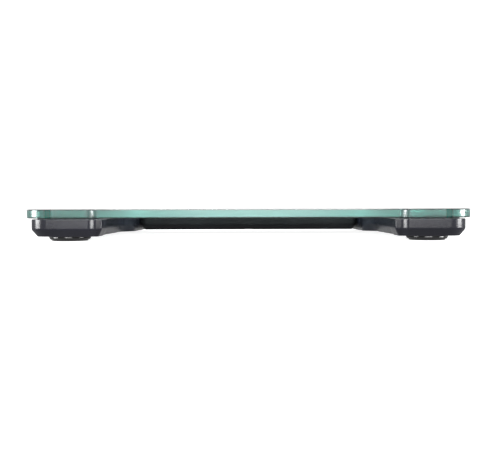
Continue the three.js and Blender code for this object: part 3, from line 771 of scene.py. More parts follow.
def board_finish(name):
    """Solder mask over copper tracks on a glass-fibre board."""
    paint = Paint(name, (0.012, 0.1, 0.035), 0.35, coat_weight=0.4, coat_roughness=0.15)
    lanes = abs((paint.at("X") * 1400).wave())
    block_map = paint.noise(70, 0)
    tracks = lanes.step(0.6, 0.75) * block_map.step(0.49, 0.5)
    weave = abs((paint.at("Y") * 5200).wave()) * abs((paint.at("X") * 5200).wave())
    paint.tinted(tracks * 0.8, (0.008, 0.07, 0.024), (0.03, 0.19, 0.06))
    paint.feed("Roughness", 0.3 + weave * 0.08)
    paint.bump(tracks, 0.03 * MM)
    return paint.material


def epoxy_finish(name):
    """Black potting drop, glossy and a little uneven."""
    paint = Paint(name, (0.006, 0.006, 0.007), 0.2)
    ripple = paint.noise(420, 2)
    return paint.textured(ripple, 0.16, 0.14, 0.08 * MM)


def silicone_finish(name):
    """Milky white: silicone over the gauges, the light guide and the LED bar."""
    paint = Paint(name, (0.78, 0.77, 0.73), 0.45, subsurface_weight=0.15)
    cloud = paint.noise(500, 3)
    paint.tinted(cloud, (0.82, 0.81, 0.77), (0.66, 0.65, 0.6))
    return paint.textured(cloud, 0.38, 0.2, 0.05 * MM)


def lead_finish(name, tint):
    """PVC insulation with a drawn surface."""
    paint = Paint(name, tint, 0.42)
    drawn = paint.noise(700, 3)
    worn = shade(tint, 1.3, 0.01)
    paint.tinted(drawn.step(0.4, 0.8), tint, worn)
    return paint.textured(drawn, 0.36, 0.18, 0.02 * MM)


def ribbon_finish(name):
    """Three cores side by side, with the web between them."""
    paint = Paint(name, (0.3, 0.3, 0.29), 0.45)
    drawn = paint.noise(500, 3)
    pale, dark = (0.34, 0.33, 0.31), (0.24, 0.24, 0.235)
    paint.tinted(drawn.step(0.35, 0.7), pale, dark)
    return paint.textured(drawn, 0.4, 0.15, 0.03 * MM)


def zebra_finish(name):
    """Contact rubber: thin conducting and plain layers in turn."""
    paint = Paint(name, (0.6, 0.2, 0.24), 0.6)
    layers = (paint.at("X") * 9000).wave().step(-0.25, 0.25)
    paint.tinted(layers, (0.02, 0.02, 0.02), (0.66, 0.26, 0.3))
    return paint.textured(layers, 0.55, 0.15, 0.01 * MM)


def panel_finish(name, tint):
    """The display's ground: an even reflector with a faint grain under the polariser."""
    paint = Paint(name, tint, 0.3, coat_weight=0.5, coat_roughness=0.1)
    grain = paint.noise(2400, 2)
    drift = paint.noise(30, 2)
    deep = shade(tint, 0.86)
    paint.tinted(drift * 0.6 + grain * 0.4, tint, deep)
    return paint.textured(grain, 0.26, 0.1, 0.004 * MM)


def segment_finish(name, strength):
    """A bar of the display, dark where it is on and barely there where it is off."""
    on, off = (0.012, 0.014, 0.016), (0.27, 0.315, 0.24)
    tint = tuple(b + (a - b) * strength for a, b in zip(on, off))
    paint = Paint(name, tint, 0.35)
    bleed = paint.noise(900, 2)
    soft = shade(tint, 1.25, 0.004)
    paint.tinted(bleed.step(0.45, 0.8), tint, soft)
    return paint.textured(bleed, 0.3, 0.12)


def window_finish(name):
    """Smoked acrylic over the display."""
    paint = Paint(name, (0.012, 0.013, 0.014), 0.06, alpha=0.28, specular_ior_level=0.5)
    smear = paint.noise(60, 3).step(0.5, 0.8)
    return paint.textured(smear, 0.04, 0.05)


FINISHES = {
    "glass": lambda c: glass_finish("Glass", c.glass),
    "adhesive": lambda c: adhesive_finish("Wetted adhesive"),
    "side_shell": lambda c: moulded_finish("Satin rail moulding", c.rail, 0.19),
    "center_shell": lambda c: moulded_finish("Centre moulding", c.centre, 0.5, level=0.16),
    "foot_plastic": lambda c: polished_finish("Polished foot", c.foot),
    "pad_rubber": lambda c: rubber_finish("Pad rubber", c.rubber),
    "bond_foam": lambda c: foam_finish("Adhesive foam"),
    "cell_steel": lambda c: metal_finish("Stamped steel", (0.5, 0.51, 0.52), 0.34),
    "screw_steel": lambda c: metal_finish("Zinc-plated steel", (0.42, 0.42, 0.43), 0.3, (8, 8, 1)),
    "coin_cell_steel": lambda c: metal_finish("Nickel-plated steel", (0.66, 0.66, 0.65), 0.24),
    "contact_metal": lambda c: metal_finish(
        "Plated spring brass", (0.68, 0.6, 0.36), 0.28, (20, 1, 1)
    ),
    "circuit_board": lambda c: board_finish("Solder mask"),
    "epoxy": lambda c: epoxy_finish("Potting epoxy"),
    "switch_housing": lambda c: moulded_finish("Switch body", (0.015, 0.015, 0.015), 0.5),
    "gauge_seal": lambda c: silicone_finish("Silicone seal"),
    "light_guide": lambda c: silicone_finish("Milky light guide"),
    "led_package": lambda c: silicone_finish("LED package"),
    "lead_red": lambda c: lead_finish("Red insulation", (0.36, 0.018, 0.012)),
    "lead_black": lambda c: lead_finish("Black insulation", (0.012, 0.012, 0.012)),
    "lead_ribbon": lambda c: ribbon_finish("Flat three-core lead"),
    "zebra_rubber": lambda c: zebra_finish("Contact rubber"),
    "lcd": lambda c: panel_finish("Display ground", c.display),
    "segment_on": lambda c: segment_finish("Display bar on", 1.0),
    "segment_off": lambda c: segment_finish("Display bar off", 0.12),
    "display_window": lambda c: window_finish("Smoked window"),
    "unit_button": lambda c: moulded_finish("Grey button", (0.2, 0.2, 0.205), 0.45),
}
made_finishes = {}


def finish_of(name):
    """The finish of a slot, made once."""
    if name not in made_finishes:
        made_finishes[name] = FINISHES[name](bpy.context.scene.scale_colours)
    return made_finishes[name]


# ---------------------------------------------------------------- geometry node trees


class Tree(NodeMaker):
    """A geometry tree with Geometry in and out, and named inputs given as (name, kind, value)."""

    def __init__(self, name, inputs):
        super().__init__(bpy.data.node_groups.new(name, "GeometryNodeTree"))
        faces = self.tree.interface
        for way in ("INPUT", "OUTPUT"):
            faces.new_socket("Geometry", in_out=way, socket_type="NodeSocketGeometry")
        for label, kind, value in (*inputs, ("Material", "Material", None)):
            socket = faces.new_socket(label, in_out="INPUT", socket_type=f"NodeSocket{kind}")
            if value is not None:
                socket.default_value = value
        self.given = self.node("NodeGroupInput").outputs

    def maths(self, operation, a, b=0.0):
        """A Math node on two numbers or sockets."""
        return self.node("ShaderNodeMath", {"operation": operation}, {0: a, 1: b}).outputs[0]

    def copies(self, points, piece, **more):
        """An instance of a piece on each point."""
        inputs = {"Points": points, "Instance": piece, **more}
        return self.node("GeometryNodeInstanceOnPoints", inputs=inputs).outputs[0]

    def end(self, geometry):
        """Realizes the instances, sets the material and closes the tree."""
        real = self.node("GeometryNodeRealizeInstances", inputs={0: geometry}).outputs[0]
        inputs = {"Geometry": real, "Material": self.given["Material"]}
        painted = self.node("GeometryNodeSetMaterial", inputs=inputs).outputs[0]
        self.node("NodeGroupOutput", inputs={0: painted})
        return self.tree


def grown(name, points, tree, values):
    """A plain mesh of a geometry tree on a set of points, with its named inputs set."""
    mesh = bpy.data.meshes.new(name)
    mesh.from_pydata([tuple(p) for p in points], [], [])
    part = linked(name, mesh)
    modifier = part.modifiers.new("Tree", "NODES")
    modifier.node_group = tree
    sockets = {s.name: s.identifier for s in tree.interface.items_tree if s.in_out == "INPUT"}
    for label, value in values.items():
        modifier[sockets[label]] = value
    return baked(part)


def scatter_tree():
    """A tree that puts a copy of an object on each point, each with its own turn."""
    tree = Tree("Screws", [("Piece", "Object", None), ("Turn Seed", "Int", 0)])
    piece = tree.node("GeometryNodeObjectInfo", inputs={"Object": tree.given["Piece"]})
    seed = {"Seed": tree.given["Turn Seed"], 2: 0, 3: math.tau}
    turn = tree.node("FunctionNodeRandomValue", {"data_type": "FLOAT"}, seed).outputs[1]
    rotation = tree.node("ShaderNodeCombineXYZ", inputs={"Z": turn}).outputs[0]
    points, shape = tree.given["Geometry"], piece.outputs["Geometry"]
    return tree.end(tree.copies(points, shape, Rotation=rotation))


def stud_tree():
    """A tree that fills a disc round each point with rows of short studs."""
    inputs = [
        ("Disc Radius", "Float", 12 * MM),
        ("Pitch", "Float", 2 * MM),
        ("Stud Radius", "Float", 0.6 * MM),
        ("Stud Height", "Float", 0.4 * MM),
    ]
    tree = Tree("Pad Studs", inputs)
    given = tree.given
    disc, stud = given["Disc Radius"], given["Stud Radius"]
    width = tree.maths("MULTIPLY", disc, 2.0)
    whole = tree.maths("FLOOR", tree.maths("DIVIDE", width, given["Pitch"]))
    count = tree.maths("ADD", whole, 1.0)
    size = {"Size X": width, "Size Y": width, "Vertices X": count, "Vertices Y": count}
    grid = tree.node("GeometryNodeMeshGrid", inputs=size).outputs[0]
    place = tree.node("GeometryNodeInputPosition").outputs[0]
    out = tree.node("ShaderNodeVectorMath", {"operation": "LENGTH"}, {0: place}).outputs["Value"]
    limit = tree.maths("SUBTRACT", disc, tree.maths("MULTIPLY", stud, 1.2))
    test = {"data_type": "FLOAT", "operation": "GREATER_THAN"}
    far = tree.node("FunctionNodeCompare", test, {0: out, 1: limit}).outputs[0]
    kept = {"Geometry": grid, "Selection": far}
    inside = tree.node("GeometryNodeDeleteGeometry", {"domain": "POINT"}, kept).outputs[0]
    shape = {
        "Vertices": 8,
        "Radius Top": stud,
        "Radius Bottom": tree.maths("MULTIPLY", stud, 0.78),
        "Depth": given["Stud Height"],
    }
    cone = tree.node("GeometryNodeMeshCone", {"fill_type": "NGON"}, shape).outputs[0]
    studs = tree.copies(inside, cone)
    real = tree.node("GeometryNodeRealizeInstances", inputs={0: studs}).outputs[0]
    return tree.end(tree.copies(given["Geometry"], real))


# ---------------------------------------------------------------- operators


class SCALE_OT_platform(bpy.types.Operator):
    """Build the glass platform with its eased edge"""

    bl_idname = "scale.platform"
    bl_label = "Glass Platform"

    def execute(self, context):
        scene = context.scene
        arris = scene.scale_platform.arris
        cut, ease = arris * 0.9, arris * 0.25
        low, high = glass_low.z, glass_high.z
        corners = [
            ((3 * arris, low), 0),
            ((cut, low), ease),
            ((0, low + cut), ease),
            ((0, high - cut), ease),
            ((cut, high), ease),
            ((3 * arris, high), 0),
        ]
        profile = soften(corners, steps=3)
        rings = [flat_ring(platform_outline(inset), z) for inset, z in profile]
        glass = loft("platform_glass", rings)
        bonds = [copied(f"bond_{side}", low + BOND_DEPTH) for side in ("center", *SIDES)]
        smooth(combine(glass, bonds, "DIFFERENCE"), 24)
        place_piece(glass, "base", ["glass_platform"], "glass", "adhesive")
        margin = 5 * MM
        for face in glass.data.polygons:
            x, y, z = face.center
            inside = abs(x) < HALF_WIDTH - margin and abs(y) < HALF_DEPTH - margin
            bonded = inside and low + BOND_DEPTH * 0.2 < z < low + BOND_DEPTH * 1.2
            face.material_index = 1 if bonded else 0
        return {"FINISHED"}


def lid_shell(name, outline_at, shell):
    """An upper shell, open below: its walls, its roof and their eased edges."""
    wall = shell.wall
    corners = [
        ((wall + 4 * MM, ROOF - wall), 0),
        ((wall, ROOF - wall), 0.5 * MM),
        ((wall, PARTING), 0.1 * MM),
        ((0, PARTING), shell.parting_edge),
        ((0, ROOF), shell.roof_edge),
        ((2.5 * MM, ROOF), 0),
    ]
    return loft(name, [flat_ring(outline_at(0, inset), z) for inset, z in soften(corners)])


def tray_shell(name, outline_at, bottom, shell):
    """A lower shell, open above: a curved taper down to its floor."""
    wall, taper = shell.wall, shell.taper
    height = TRAY_TOP - bottom
    side = [
        ((0, 0, TRAY_TOP), shell.parting_edge),
        ((0.06 * taper, 0, TRAY_TOP - 0.2 * height), 0.6 * MM),
        ((0.62 * taper, 0, TRAY_TOP - 0.7 * height), 1.4 * MM),
        ((0.92 * taper, 0, bottom + 0.25 * MM), 0.5 * MM),
        ((taper, 0, bottom), 0.3 * MM),
        ((taper, 2.5 * MM, bottom), 0),
    ]
    inside = [
        ((0.6 * taper, wall + 4 * MM, bottom + wall), 0),
        ((0.6 * taper, wall, bottom + wall), 0.6 * MM),
        ((0, wall, TRAY_TOP - 0.2 * height), 0.8 * MM),
        ((0, wall, TRAY_TOP), 0.1 * MM),
    ]
    profile = soften(inside + side)
    return loft(name, [flat_ring(outline_at(draw, inset), z) for draw, inset, z in profile])


def post(p, radius, z0, z1):
    """An upright post at a place."""
    return turned("post", [((radius, z0), 0), ((radius, z1), 0)], p, 32)


def well(p, bottom):
    """A cutter of a screw's well and bore, the well's mouth flared."""
    head, top = 2.8 * MM, PARTING + 1 * MM
    mouth, seat = bottom - 1 * MM, bottom + 2.4 * MM
    corners = [
        ((head + 1.2 * MM, mouth), 0),
        ((head, bottom + 0.2 * MM), 0.3 * MM),
        ((head, seat), 0),
        ((BORE_RADIUS, seat), 0),
        ((BORE_RADIUS, top), 0),
    ]
    return turned("well", corners, p, 40)


def bosses(places, shell):
    """The screws' bosses, which hang from an upper shell's roof."""
    return join("bosses", [post(p, BOSS_RADIUS, PARTING, ROOF - shell.wall / 2) for p in places])


def bores(places, shell):
    """Cutters of the holes in the bosses."""
    return [post(p, BORE_RADIUS, PARTING - MM, ROOF - shell.wall) for p in places]


def posts(places, bottom, shell):
    """The screws' posts, which stand on a lower shell's floor."""
    low, high = bottom + shell.wall / 2, TRAY_TOP - 0.05 * MM
    return join("posts", [post(p, POST_RADIUS, low, high) for p in places])


def rail_screws():
    """Where the right-hand rail's screws stand."""
    return [middle(f"side_screw_right_{i}") for i in (1, 2, 3)]


def centre_screws():
    """Where the centre module's screws stand."""
    return [middle(f"center_screw_{i}") for i in (1, 2, 3, 4)]


class SCALE_OT_rails(bpy.types.Operator):
    """Build the upper and lower shells of both rails"""

    bl_idname = "scale.rails"
    bl_label = "Rails"

    def execute(self, context):
        scene = context.scene
        shell = scene.scale_shell
        places = rail_screws()
        upper = lid_shell("rail_housing_right", rail_outline, shell)
        combine(upper, [bosses(places, shell)], "UNION")
        combine(upper, [join("bores", bores(places, shell))], "DIFFERENCE")
        lower = tray_shell("rail_cover_right", rail_outline, FLOOR, shell)
        combine(lower, [posts(places, FLOOR, shell)], "UNION")
        wells = [well(p, FLOOR) for p in places]
        combine(lower, [join("wells", wells + self.foot_holes(shell))], "DIFFERENCE")
        for part, name, node in (
            (upper, "rail_housing_left", "side_housing"),
            (lower, "rail_cover_left", "side_cover"),
        ):
            other = smooth(mirrored(part, name))
            smooth(part)
            place_piece(other, "base", [f"{node}_left"], "side_shell")
            place_piece(part, "base", [f"{node}_right"], "side_shell")
        return {"FINISHED"}

    def foot_holes(self, shell):
        """Cutters of the holes that the feet come through, their mouths flared."""
        tools = []
        for end in ENDS:
            at = middle(f"foot_body_{end}_right")
            radius = 14.9 * MM
            profile = [
                ((radius + 1.3 * MM, FLOOR - MM), 0),
                ((radius, FLOOR + 0.3 * MM), 0.4 * MM),
                ((radius, FLOOR + shell.wall + MM), 0),
            ]
            tools.append(turned("foot_hole", profile, at, 96))
        return tools


class SCALE_OT_centre(bpy.types.Operator):
    """Build the upper and lower shells of the centre module"""

    bl_idname = "scale.centre"
    bl_label = "Centre Module"

    def execute(self, context):
        scene = context.scene
        shell = scene.scale_shell
        upper = lid_shell("centre_shell", centre_outline, shell)
        combine(upper, [bosses(centre_screws(), shell)], "UNION")
        opening = grown_box(window_low, window_high, 0.3 * MM, 0.8 * MM)
        seat = grown_box(panel_low, panel_high, 0.4 * MM, 0.5 * MM)
        tools = [
            prism("opening", opening, panel_high.z, ROOF + MM),
            prism("seat", seat, PARTING, panel_high.z + 0.05 * MM),
            *bores(centre_screws(), shell),
        ]
        smooth(combine(upper, tools, "DIFFERENCE"))
        place_piece(upper, "base", ["center_housing"], "center_shell")
        self.tray(shell)
        return {"FINISHED"}

    def tray(self, shell):
        """The lower shell, with its battery pocket, button hole and screw posts."""
        lower = tray_shell("centre_tray", centre_outline, centre_floor, shell)
        door_low, door_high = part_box("battery_door")
        gap, wall = 0.4 * MM, 1.2 * MM
        floor_top = centre_floor + shell.wall
        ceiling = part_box("coin_cell")[1].z + 0.4 * MM
        x = door_high.x + gap
        front = door_low.y - gap
        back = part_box("coin_cell")[1].y + 9.6 * MM
        outer = rounded_outline(-x - wall, x + wall, front - wall, back + wall, 0.6 * MM, 4)
        inner = rounded_outline(-x, x, front, back, 1.2 * MM, 6)
        pocket = prism("pocket", outer, floor_top - 0.5 * MM, ceiling + wall)
        combine(lower, [posts(centre_screws(), centre_floor, shell), pocket], "UNION")

        hinge = back - 1.4 * MM
        slots = []
        for side in (-1, 1):
            at = side * 8 * MM
            half = 2.6 * MM
            outline = rounded_outline(at - half, at + half, hinge, hinge + 5 * MM, 0.3 * MM, 2)
            slots.append(prism("slot", outline, floor_top, ceiling - 0.1 * MM))
        for side, pole in ((-1, "negative"), (1, "positive")):
            at, y = side * 5 * MM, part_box(f"battery_contact_{pole}")[1].y
            half, y0, y1 = 2.5 * MM, y - 0.9 * MM, y + 0.5 * MM
            outline = rounded_outline(at - half, at + half, y0, y1, 0.2 * MM, 2)
            slots.append(prism("slot", outline, ceiling - MM, ceiling + wall + MM))
        button = middle("unit_button")
        hole = 4.25 * MM
        mouth = [
            ((hole + 1.5 * MM, centre_floor - MM), 0),
            ((hole, centre_floor + 0.5 * MM), 0.3 * MM),
            ((hole, floor_top + MM), 0),
        ]
        scoop = [
            ((7.6 * MM, centre_floor - MM), 0),
            ((5.6 * MM, centre_floor + 0.55 * MM), 1.2 * MM),
            ((0, centre_floor + 0.9 * MM), 0),
        ]
        tools = [
            prism("pocket_inside", inner, centre_floor - MM, ceiling),
            turned("button_hole", mouth, button, 64),
            turned("scoop", scoop, (0, front - 0.5 * MM), 64),
            *slots,
            *(well(p, centre_floor) for p in centre_screws()),
        ]
        smooth(combine(lower, tools, "DIFFERENCE"))
        place_piece(lower, "base", ["center_cover"], "center_shell")


class SCALE_OT_door(bpy.types.Operator):
    """Build the battery door with its hooks, latch and grip"""

    bl_idname = "scale.door"
    bl_label = "Battery Door"

    def execute(self, context):
        scene = context.scene
        low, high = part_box("battery_door")
        floor_top = centre_floor + scene.scale_shell.wall
        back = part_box("coin_cell")[1].y + 9.2 * MM
        hinge = back - 1 * MM
        top, corner, edge = low.z + 1.5 * MM, 1.5 * MM, 0.35 * MM
        plate = slab("hinged_door", low.x, high.x, low.y, back, low.z, top, corner, edge)
        hook_low, hook_high = floor_top + 0.1 * MM, floor_top + 0.9 * MM
        root, latch_top = low.z + MM, floor_top + 1.4 * MM
        pieces = [slab("latch", -3.5 * MM, 3.5 * MM, low.y, low.y + 1.2 * MM, root, latch_top)]
        for side in (-1, 1):
            at = side * 8 * MM
            x0, x1, y0 = at - 2 * MM, at + 2 * MM, hinge - 2 * MM
            pieces.append(slab("riser", x0, x1, y0, hinge + 0.4 * MM, root, hook_high))
            pieces.append(slab("hook", x0, x1, y0, hinge + 4.2 * MM, hook_low, hook_high))
        combine(plate, pieces, "UNION")
        grooves = []
        for step in range(4):
            y = low.y + (4 + 2.4 * step) * MM
            half, wide = (5.2 - 1.1 * step) * MM, 0.5 * MM
            z0, z1 = low.z - MM, low.z + 0.4 * MM
            grooves.append(slab("groove", -half, half, y - wide, y + wide, z0, z1, wide))
        smooth(combine(plate, [join("grooves", grooves)], "DIFFERENCE"))
        place_piece(plate, "door", ["battery_door"], "center_shell")
        return {"FINISHED"}


class SCALE_OT_button(bpy.types.Operator):
    """Build the unit button with its dished face"""

    bl_idname = "scale.button"
    bl_label = "Unit Button"

    def execute(self, context):
        scene = context.scene
        low, high, at, flange = round_place("unit_button")
        radius = flange - 1 * MM
        step = centre_floor + scene.scale_shell.wall + 0.1 * MM
        profile = [
            ((0, low.z + 0.22 * MM), 0),
            ((radius * 0.62, low.z + 0.08 * MM), 1.2 * MM),
            ((radius - 0.5 * MM, low.z), 0.3 * MM),
            ((radius, low.z + 0.35 * MM), 0.25 * MM),
            ((radius, step), 0.05 * MM),
            ((flange, step), 0.08 * MM),
            ((flange, step + 0.4 * MM), 0.08 * MM),
            ((1.6 * MM, step + 0.4 * MM), 0.05 * MM),
            ((1.6 * MM, high.z), 0.1 * MM),
        ]
        key = smooth(turned("unit_key", profile, at, 64))
        place_piece(key, "button", ["unit_button"], "unit_button")
        return {"FINISHED"}


class SCALE_OT_feet(bpy.types.Operator):
    """Build the polished feet and their studded rubber pads"""

    bl_idname = "scale.feet"
    bl_label = "Feet"

    def execute(self, context):
        scene = context.scene
        studs = stud_tree()
        for side in SIDES:
            for end in ENDS:
                self.foot(f"{end}_{side}", scene, studs)
        return {"FINISHED"}

    def foot(self, corner, scene, studs):
        """One foot and the pad under it."""
        low, high, at, flange = round_place(f"foot_body_{corner}")
        _, pad_high, _, pad = round_place(f"foot_pad_{corner}")
        radius = flange - 2.1 * MM
        step = FLOOR + scene.scale_shell.wall + 0.35 * MM
        profile = [
            ((pad + 0.15 * MM, pad_high.z + 0.1 * MM), 0.1 * MM),
            ((pad + 0.15 * MM, low.z), 0.15 * MM),
            ((radius - 1.0 * MM, low.z), 0.3 * MM),
            ((radius, low.z + 1.0 * MM), 0.5 * MM),
            ((radius - 0.3 * MM, step), 0.1 * MM),
            ((flange, step), 0.2 * MM),
            ((flange, step + 1.65 * MM), 0.2 * MM),
            ((5.5 * MM, step + 1.65 * MM), 0.3 * MM),
            ((4.5 * MM, high.z), 0.4 * MM),
        ]
        cup = smooth(turned(f"foot_cup_{corner}", profile, at, 96))
        body = f"foot_{corner}"
        place_piece(cup, body, [f"foot_body_{corner}"], "foot_plastic")

        details = scene.scale_details
        rubber = finish_of("pad_rubber")
        height = details.stud_height
        base = [
            ((pad - 1.3 * MM, height), 0.1 * MM),
            ((pad - 1.2 * MM, 0), 0.15 * MM),
            ((pad - 0.4 * MM, 0), 0.2 * MM),
            ((pad, 0.5 * MM), 0.2 * MM),
            ((pad, pad_high.z), 0.1 * MM),
        ]
        disc = turned("disc", base, at, 96)
        tread = grown(
            "studs",
            [(at.x, at.y, height / 2 + 0.05 * MM)],
            studs,
            {
                "Disc Radius": pad - 1.3 * MM,
                "Pitch": details.stud_pitch,
                "Stud Radius": details.stud,
                "Stud Height": height + 0.1 * MM,
                "Material": rubber,
            },
        )
        grip = smooth(join(f"tread_pad_{corner}", [disc, tread]))
        place_piece(grip, body, [f"foot_pad_{corner}"], "pad_rubber")


def screw_blank(name, length_in, up):
    """One pan-head cross-recess screw, its head's face at the origin and its shank along up."""
    head, shank, height = 2.4 * MM, 1.2 * MM, 1.4 * MM
    profile = [
        ((0, 0), 0),
        ((head * 0.72, 0.05 * MM), 0.6 * MM),
        ((head, 0.65 * MM), 0.4 * MM),
        ((head, height), 0.08 * MM),
        ((shank, height), 0.1 * MM),
    ]
    pitch = 0.55 * MM
    turns = int((length_in - 0.9 * MM) / pitch)
    for turn in range(turns):
        z = height + 0.3 * MM + turn * pitch
        profile += [((shank * 0.82, z), 0), ((shank, z + pitch / 2), 0)]
    profile += [((shank * 0.6, height + length_in - 0.3 * MM), 0), ((0, height + length_in), 0)]
    blank = turned(name, profile, steps=32)
    arm, half, corner, edge = 1.35 * MM, 0.3 * MM, 0.1 * MM, 0.05 * MM
    recess = [
        slab("recess", -arm, arm, -half, half, -MM, 0.75 * MM, corner, edge),
        slab("recess", -half, half, -arm, arm, -MM, 0.8 * MM, corner, edge),
    ]
    combine(blank, recess, "DIFFERENCE")
    if up < 0:
        bm = bmesh.new()
        bm.from_mesh(blank.data)
        bmesh.ops.rotate(bm, verts=bm.verts, matrix=Matrix.Rotation(math.pi, 3, "X"))
        bm.to_mesh(blank.data)
        bm.free()
    return blank


class SCALE_OT_screws(bpy.types.Operator):
    """Build the screws that hold the covers and the circuit board"""

    bl_idname = "scale.screws"
    bl_label = "Screws"

    def execute(self, context):
        scene = context.scene
        cover_nodes = [f"center_screw_{i}" for i in (1, 2, 3, 4)]
        cover_nodes += [f"side_screw_{side}_{i}" for side in SIDES for i in (1, 2, 3)]
        board_nodes = ["board_screw_1", "board_screw_2"]
        tree = scatter_tree()
        self.group("cover_screws", cover_nodes, 1, tree, scene)
        self.group("circuit_screws", board_nodes, -1, tree, scene)
        return {"FINISHED"}

    def group(self, name, nodes, up, tree, scene):
        """One mesh of like screws, each on its packed node's place."""
        low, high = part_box(nodes[0])
        blank = screw_blank("blank", high.z - low.z - 1.4 * MM, up)
        points = []
        for node in nodes:
            low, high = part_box(node)
            points.append((middle(node).x, middle(node).y, low.z if up > 0 else high.z))
        steel = finish_of("screw_steel")
        values = {"Piece": blank, "Turn Seed": scene.scale_details.turn_seed, "Material": steel}
        screws = grown(name, points, tree, values)
        discard(blank)
        smooth(screws, 40)
        place_piece(screws, "base", nodes, "screw_steel")


SEGMENTS = {
    "top": ((-1, 2), (1, 2)),
    "upper_left": ((-1, 0), (-1, 2)),
    "upper_right": ((1, 0), (1, 2)),
    "middle": ((-1, 0), (1, 0)),
    "lower_left": ((-1, -2), (-1, 0)),
    "lower_right": ((1, -2), (1, 0)),
    "bottom": ((-1, -2), (1, -2)),
}
LIT = {
    " ": [],
    "0": ["top", "upper_left", "upper_right", "lower_left", "lower_right", "bottom"],
    "1": ["upper_right", "lower_right"],
    "2": ["top", "upper_right", "middle", "lower_left", "bottom"],
    "3": ["top", "upper_right", "middle", "lower_right", "bottom"],
    "4": ["upper_left", "upper_right", "middle", "lower_right"],
    "5": ["top", "upper_left", "middle", "lower_right", "bottom"],
    "6": ["top", "upper_left", "middle", "lower_left", "lower_right", "bottom"],
    "7": ["top", "upper_right", "lower_right"],
    "8": list(SEGMENTS),
    "9": ["top", "upper_left", "upper_right", "middle", "lower_right", "bottom"],
}


class SCALE_OT_display(bpy.types.Operator):
    """Build the display's window, panel and digits"""

    bl_idname = "scale.display"
    bl_label = "Display"

    def execute(self, context):
        scene = context.scene
        window, panel = (window_low, window_high), (panel_low, panel_high)
        for name, node, slot, (low, high), corner, edge in (
            ("clear_window", "display_window", "display_window", window, 0.8 * MM, 0.15 * MM),
            ("display_panel", "lcd_panel", "lcd", panel, 0.5 * MM, 0.2 * MM),
        ):
            plate = slab(name, low.x, high.x, low.y, high.y, low.z, high.z, corner, edge)
            place_piece(smooth(plate), "base", [node], slot)
        self.digits(scene)
        return {"FINISHED"}

    def digits(self, scene):
        """Bars of every digit, those that are on and those that are off."""
        details = scene.scale_details
        height, stroke = details.digit, details.stroke
        width = height * 0.5
        pitch = width + 6.5 * MM
        text = details.reading
        whole = text.replace(".", "")
        start = -pitch * (len(whole) - 1) / 2
        z = panel_high.z + 0.01 * MM
        bars = {True: [], False: []}
        for place, digit in enumerate(whole):
            x = start + place * pitch
            for name, (a, b) in SEGMENTS.items():
                lit = name in LIT[digit]
                bars[lit].append(self.bar(x, a, b, width, height, stroke, z))
        if "." in text:
            x = start + (text.index(".") - 0.5) * pitch
            y = middle("lcd_panel").y - height / 2 + stroke / 2
            half = stroke * 0.45
            x0, x1, y0, y1 = x - half, x + half, y - half, y + half
            bars[True].append(slab("dot", x0, x1, y0, y1, z, z + BAR_HEIGHT, 0.2 * MM))
        for lit, name in ((True, "segment_on"), (False, "segment_off")):
            made = join(f"{name}_bars", bars[lit])
            made.data.materials.append(finish_of(name))
            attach(made, "base")

    def bar(self, x, a, b, width, height, stroke, z):
        """One bar: a long hexagon between two corners of its digit."""
        centre_y = middle("lcd_panel").y
        step = Vector(((width - stroke) / 2, (height - stroke) / 4))
        lean = 0.1
        start = Vector((a[0] * step.x, a[1] * step.y))
        end = Vector((b[0] * step.x, b[1] * step.y))
        along = (end - start).normalized()
        across = Vector((-along.y, along.x)) * stroke / 2
        gap = along * 0.25 * MM
        tip = along * stroke / 2
        points = [
            start + gap,
            start + gap + tip - across,
            end - gap - tip - across,
            end - gap,
            end - gap - tip + across,
            start + gap + tip + across,
        ]
        outline = [Vector((x + p.x + p.y * lean, centre_y + p.y)) for p in points]
        return prism("bar", outline, z, z + BAR_HEIGHT)


class SCALE_OT_coin(bpy.types.Operator):
    """Build the coin cell with its crimped rim"""

    bl_idname = "scale.coin"
    bl_label = "Coin Cell"

    def execute(self, context):
        low, high, at, radius = round_place("coin_cell")
        profile = [
            ((radius * 0.72, low.z), 0),
            ((radius * 0.735, low.z + 0.12 * MM), 0),
            ((radius * 0.755, low.z + 0.12 * MM), 0),
            ((radius * 0.77, low.z), 0),
            ((radius - 0.3 * MM, low.z), 0.2 * MM),
            ((radius, low.z + 0.3 * MM), 0.2 * MM),
            ((radius, high.z - 0.6 * MM), 0.3 * MM),
            ((radius - 0.7 * MM, high.z - 0.35 * MM), 0.2 * MM),
            ((radius - 1.1 * MM, high.z - 0.4 * MM), 0.1 * MM),
            ((radius - 1.6 * MM, high.z), 0.3 * MM),
        ]
        coin = turned("coin_battery", profile, at, 96)
        mark, arm, depth = 2.2 * MM, 0.4 * MM, low.z + 0.15 * MM
        marks = [
            slab("mark", at.x - mark, at.x + mark, at.y - arm, at.y + arm, low.z - MM, depth),
            slab("mark", at.x - arm, at.x + arm, at.y - mark, at.y + mark, low.z - MM, depth),
        ]
        smooth(combine(coin, marks, "DIFFERENCE"))
        place_piece(coin, "base", ["coin_cell"], "coin_cell_steel")
        return {"FINISHED"}


class SCALE_OT_finishes(bpy.types.Operator):
    """Give the packed model's remaining pieces their finishes"""

    bl_idname = "scale.finishes"
    bl_label = "Inner Finishes"

    def execute(self, context):
        slots = {part["node"]: part["material_slot"] for part in frame["record"]["subparts"]}
        for node, slot in slots.items():
            part = bpy.data.objects[frame["nodes"][node].name]
            if part.hide_render:
                continue
            part.data.materials.clear()
            part.data.materials.append(finish_of(slot))
        return {"FINISHED"}


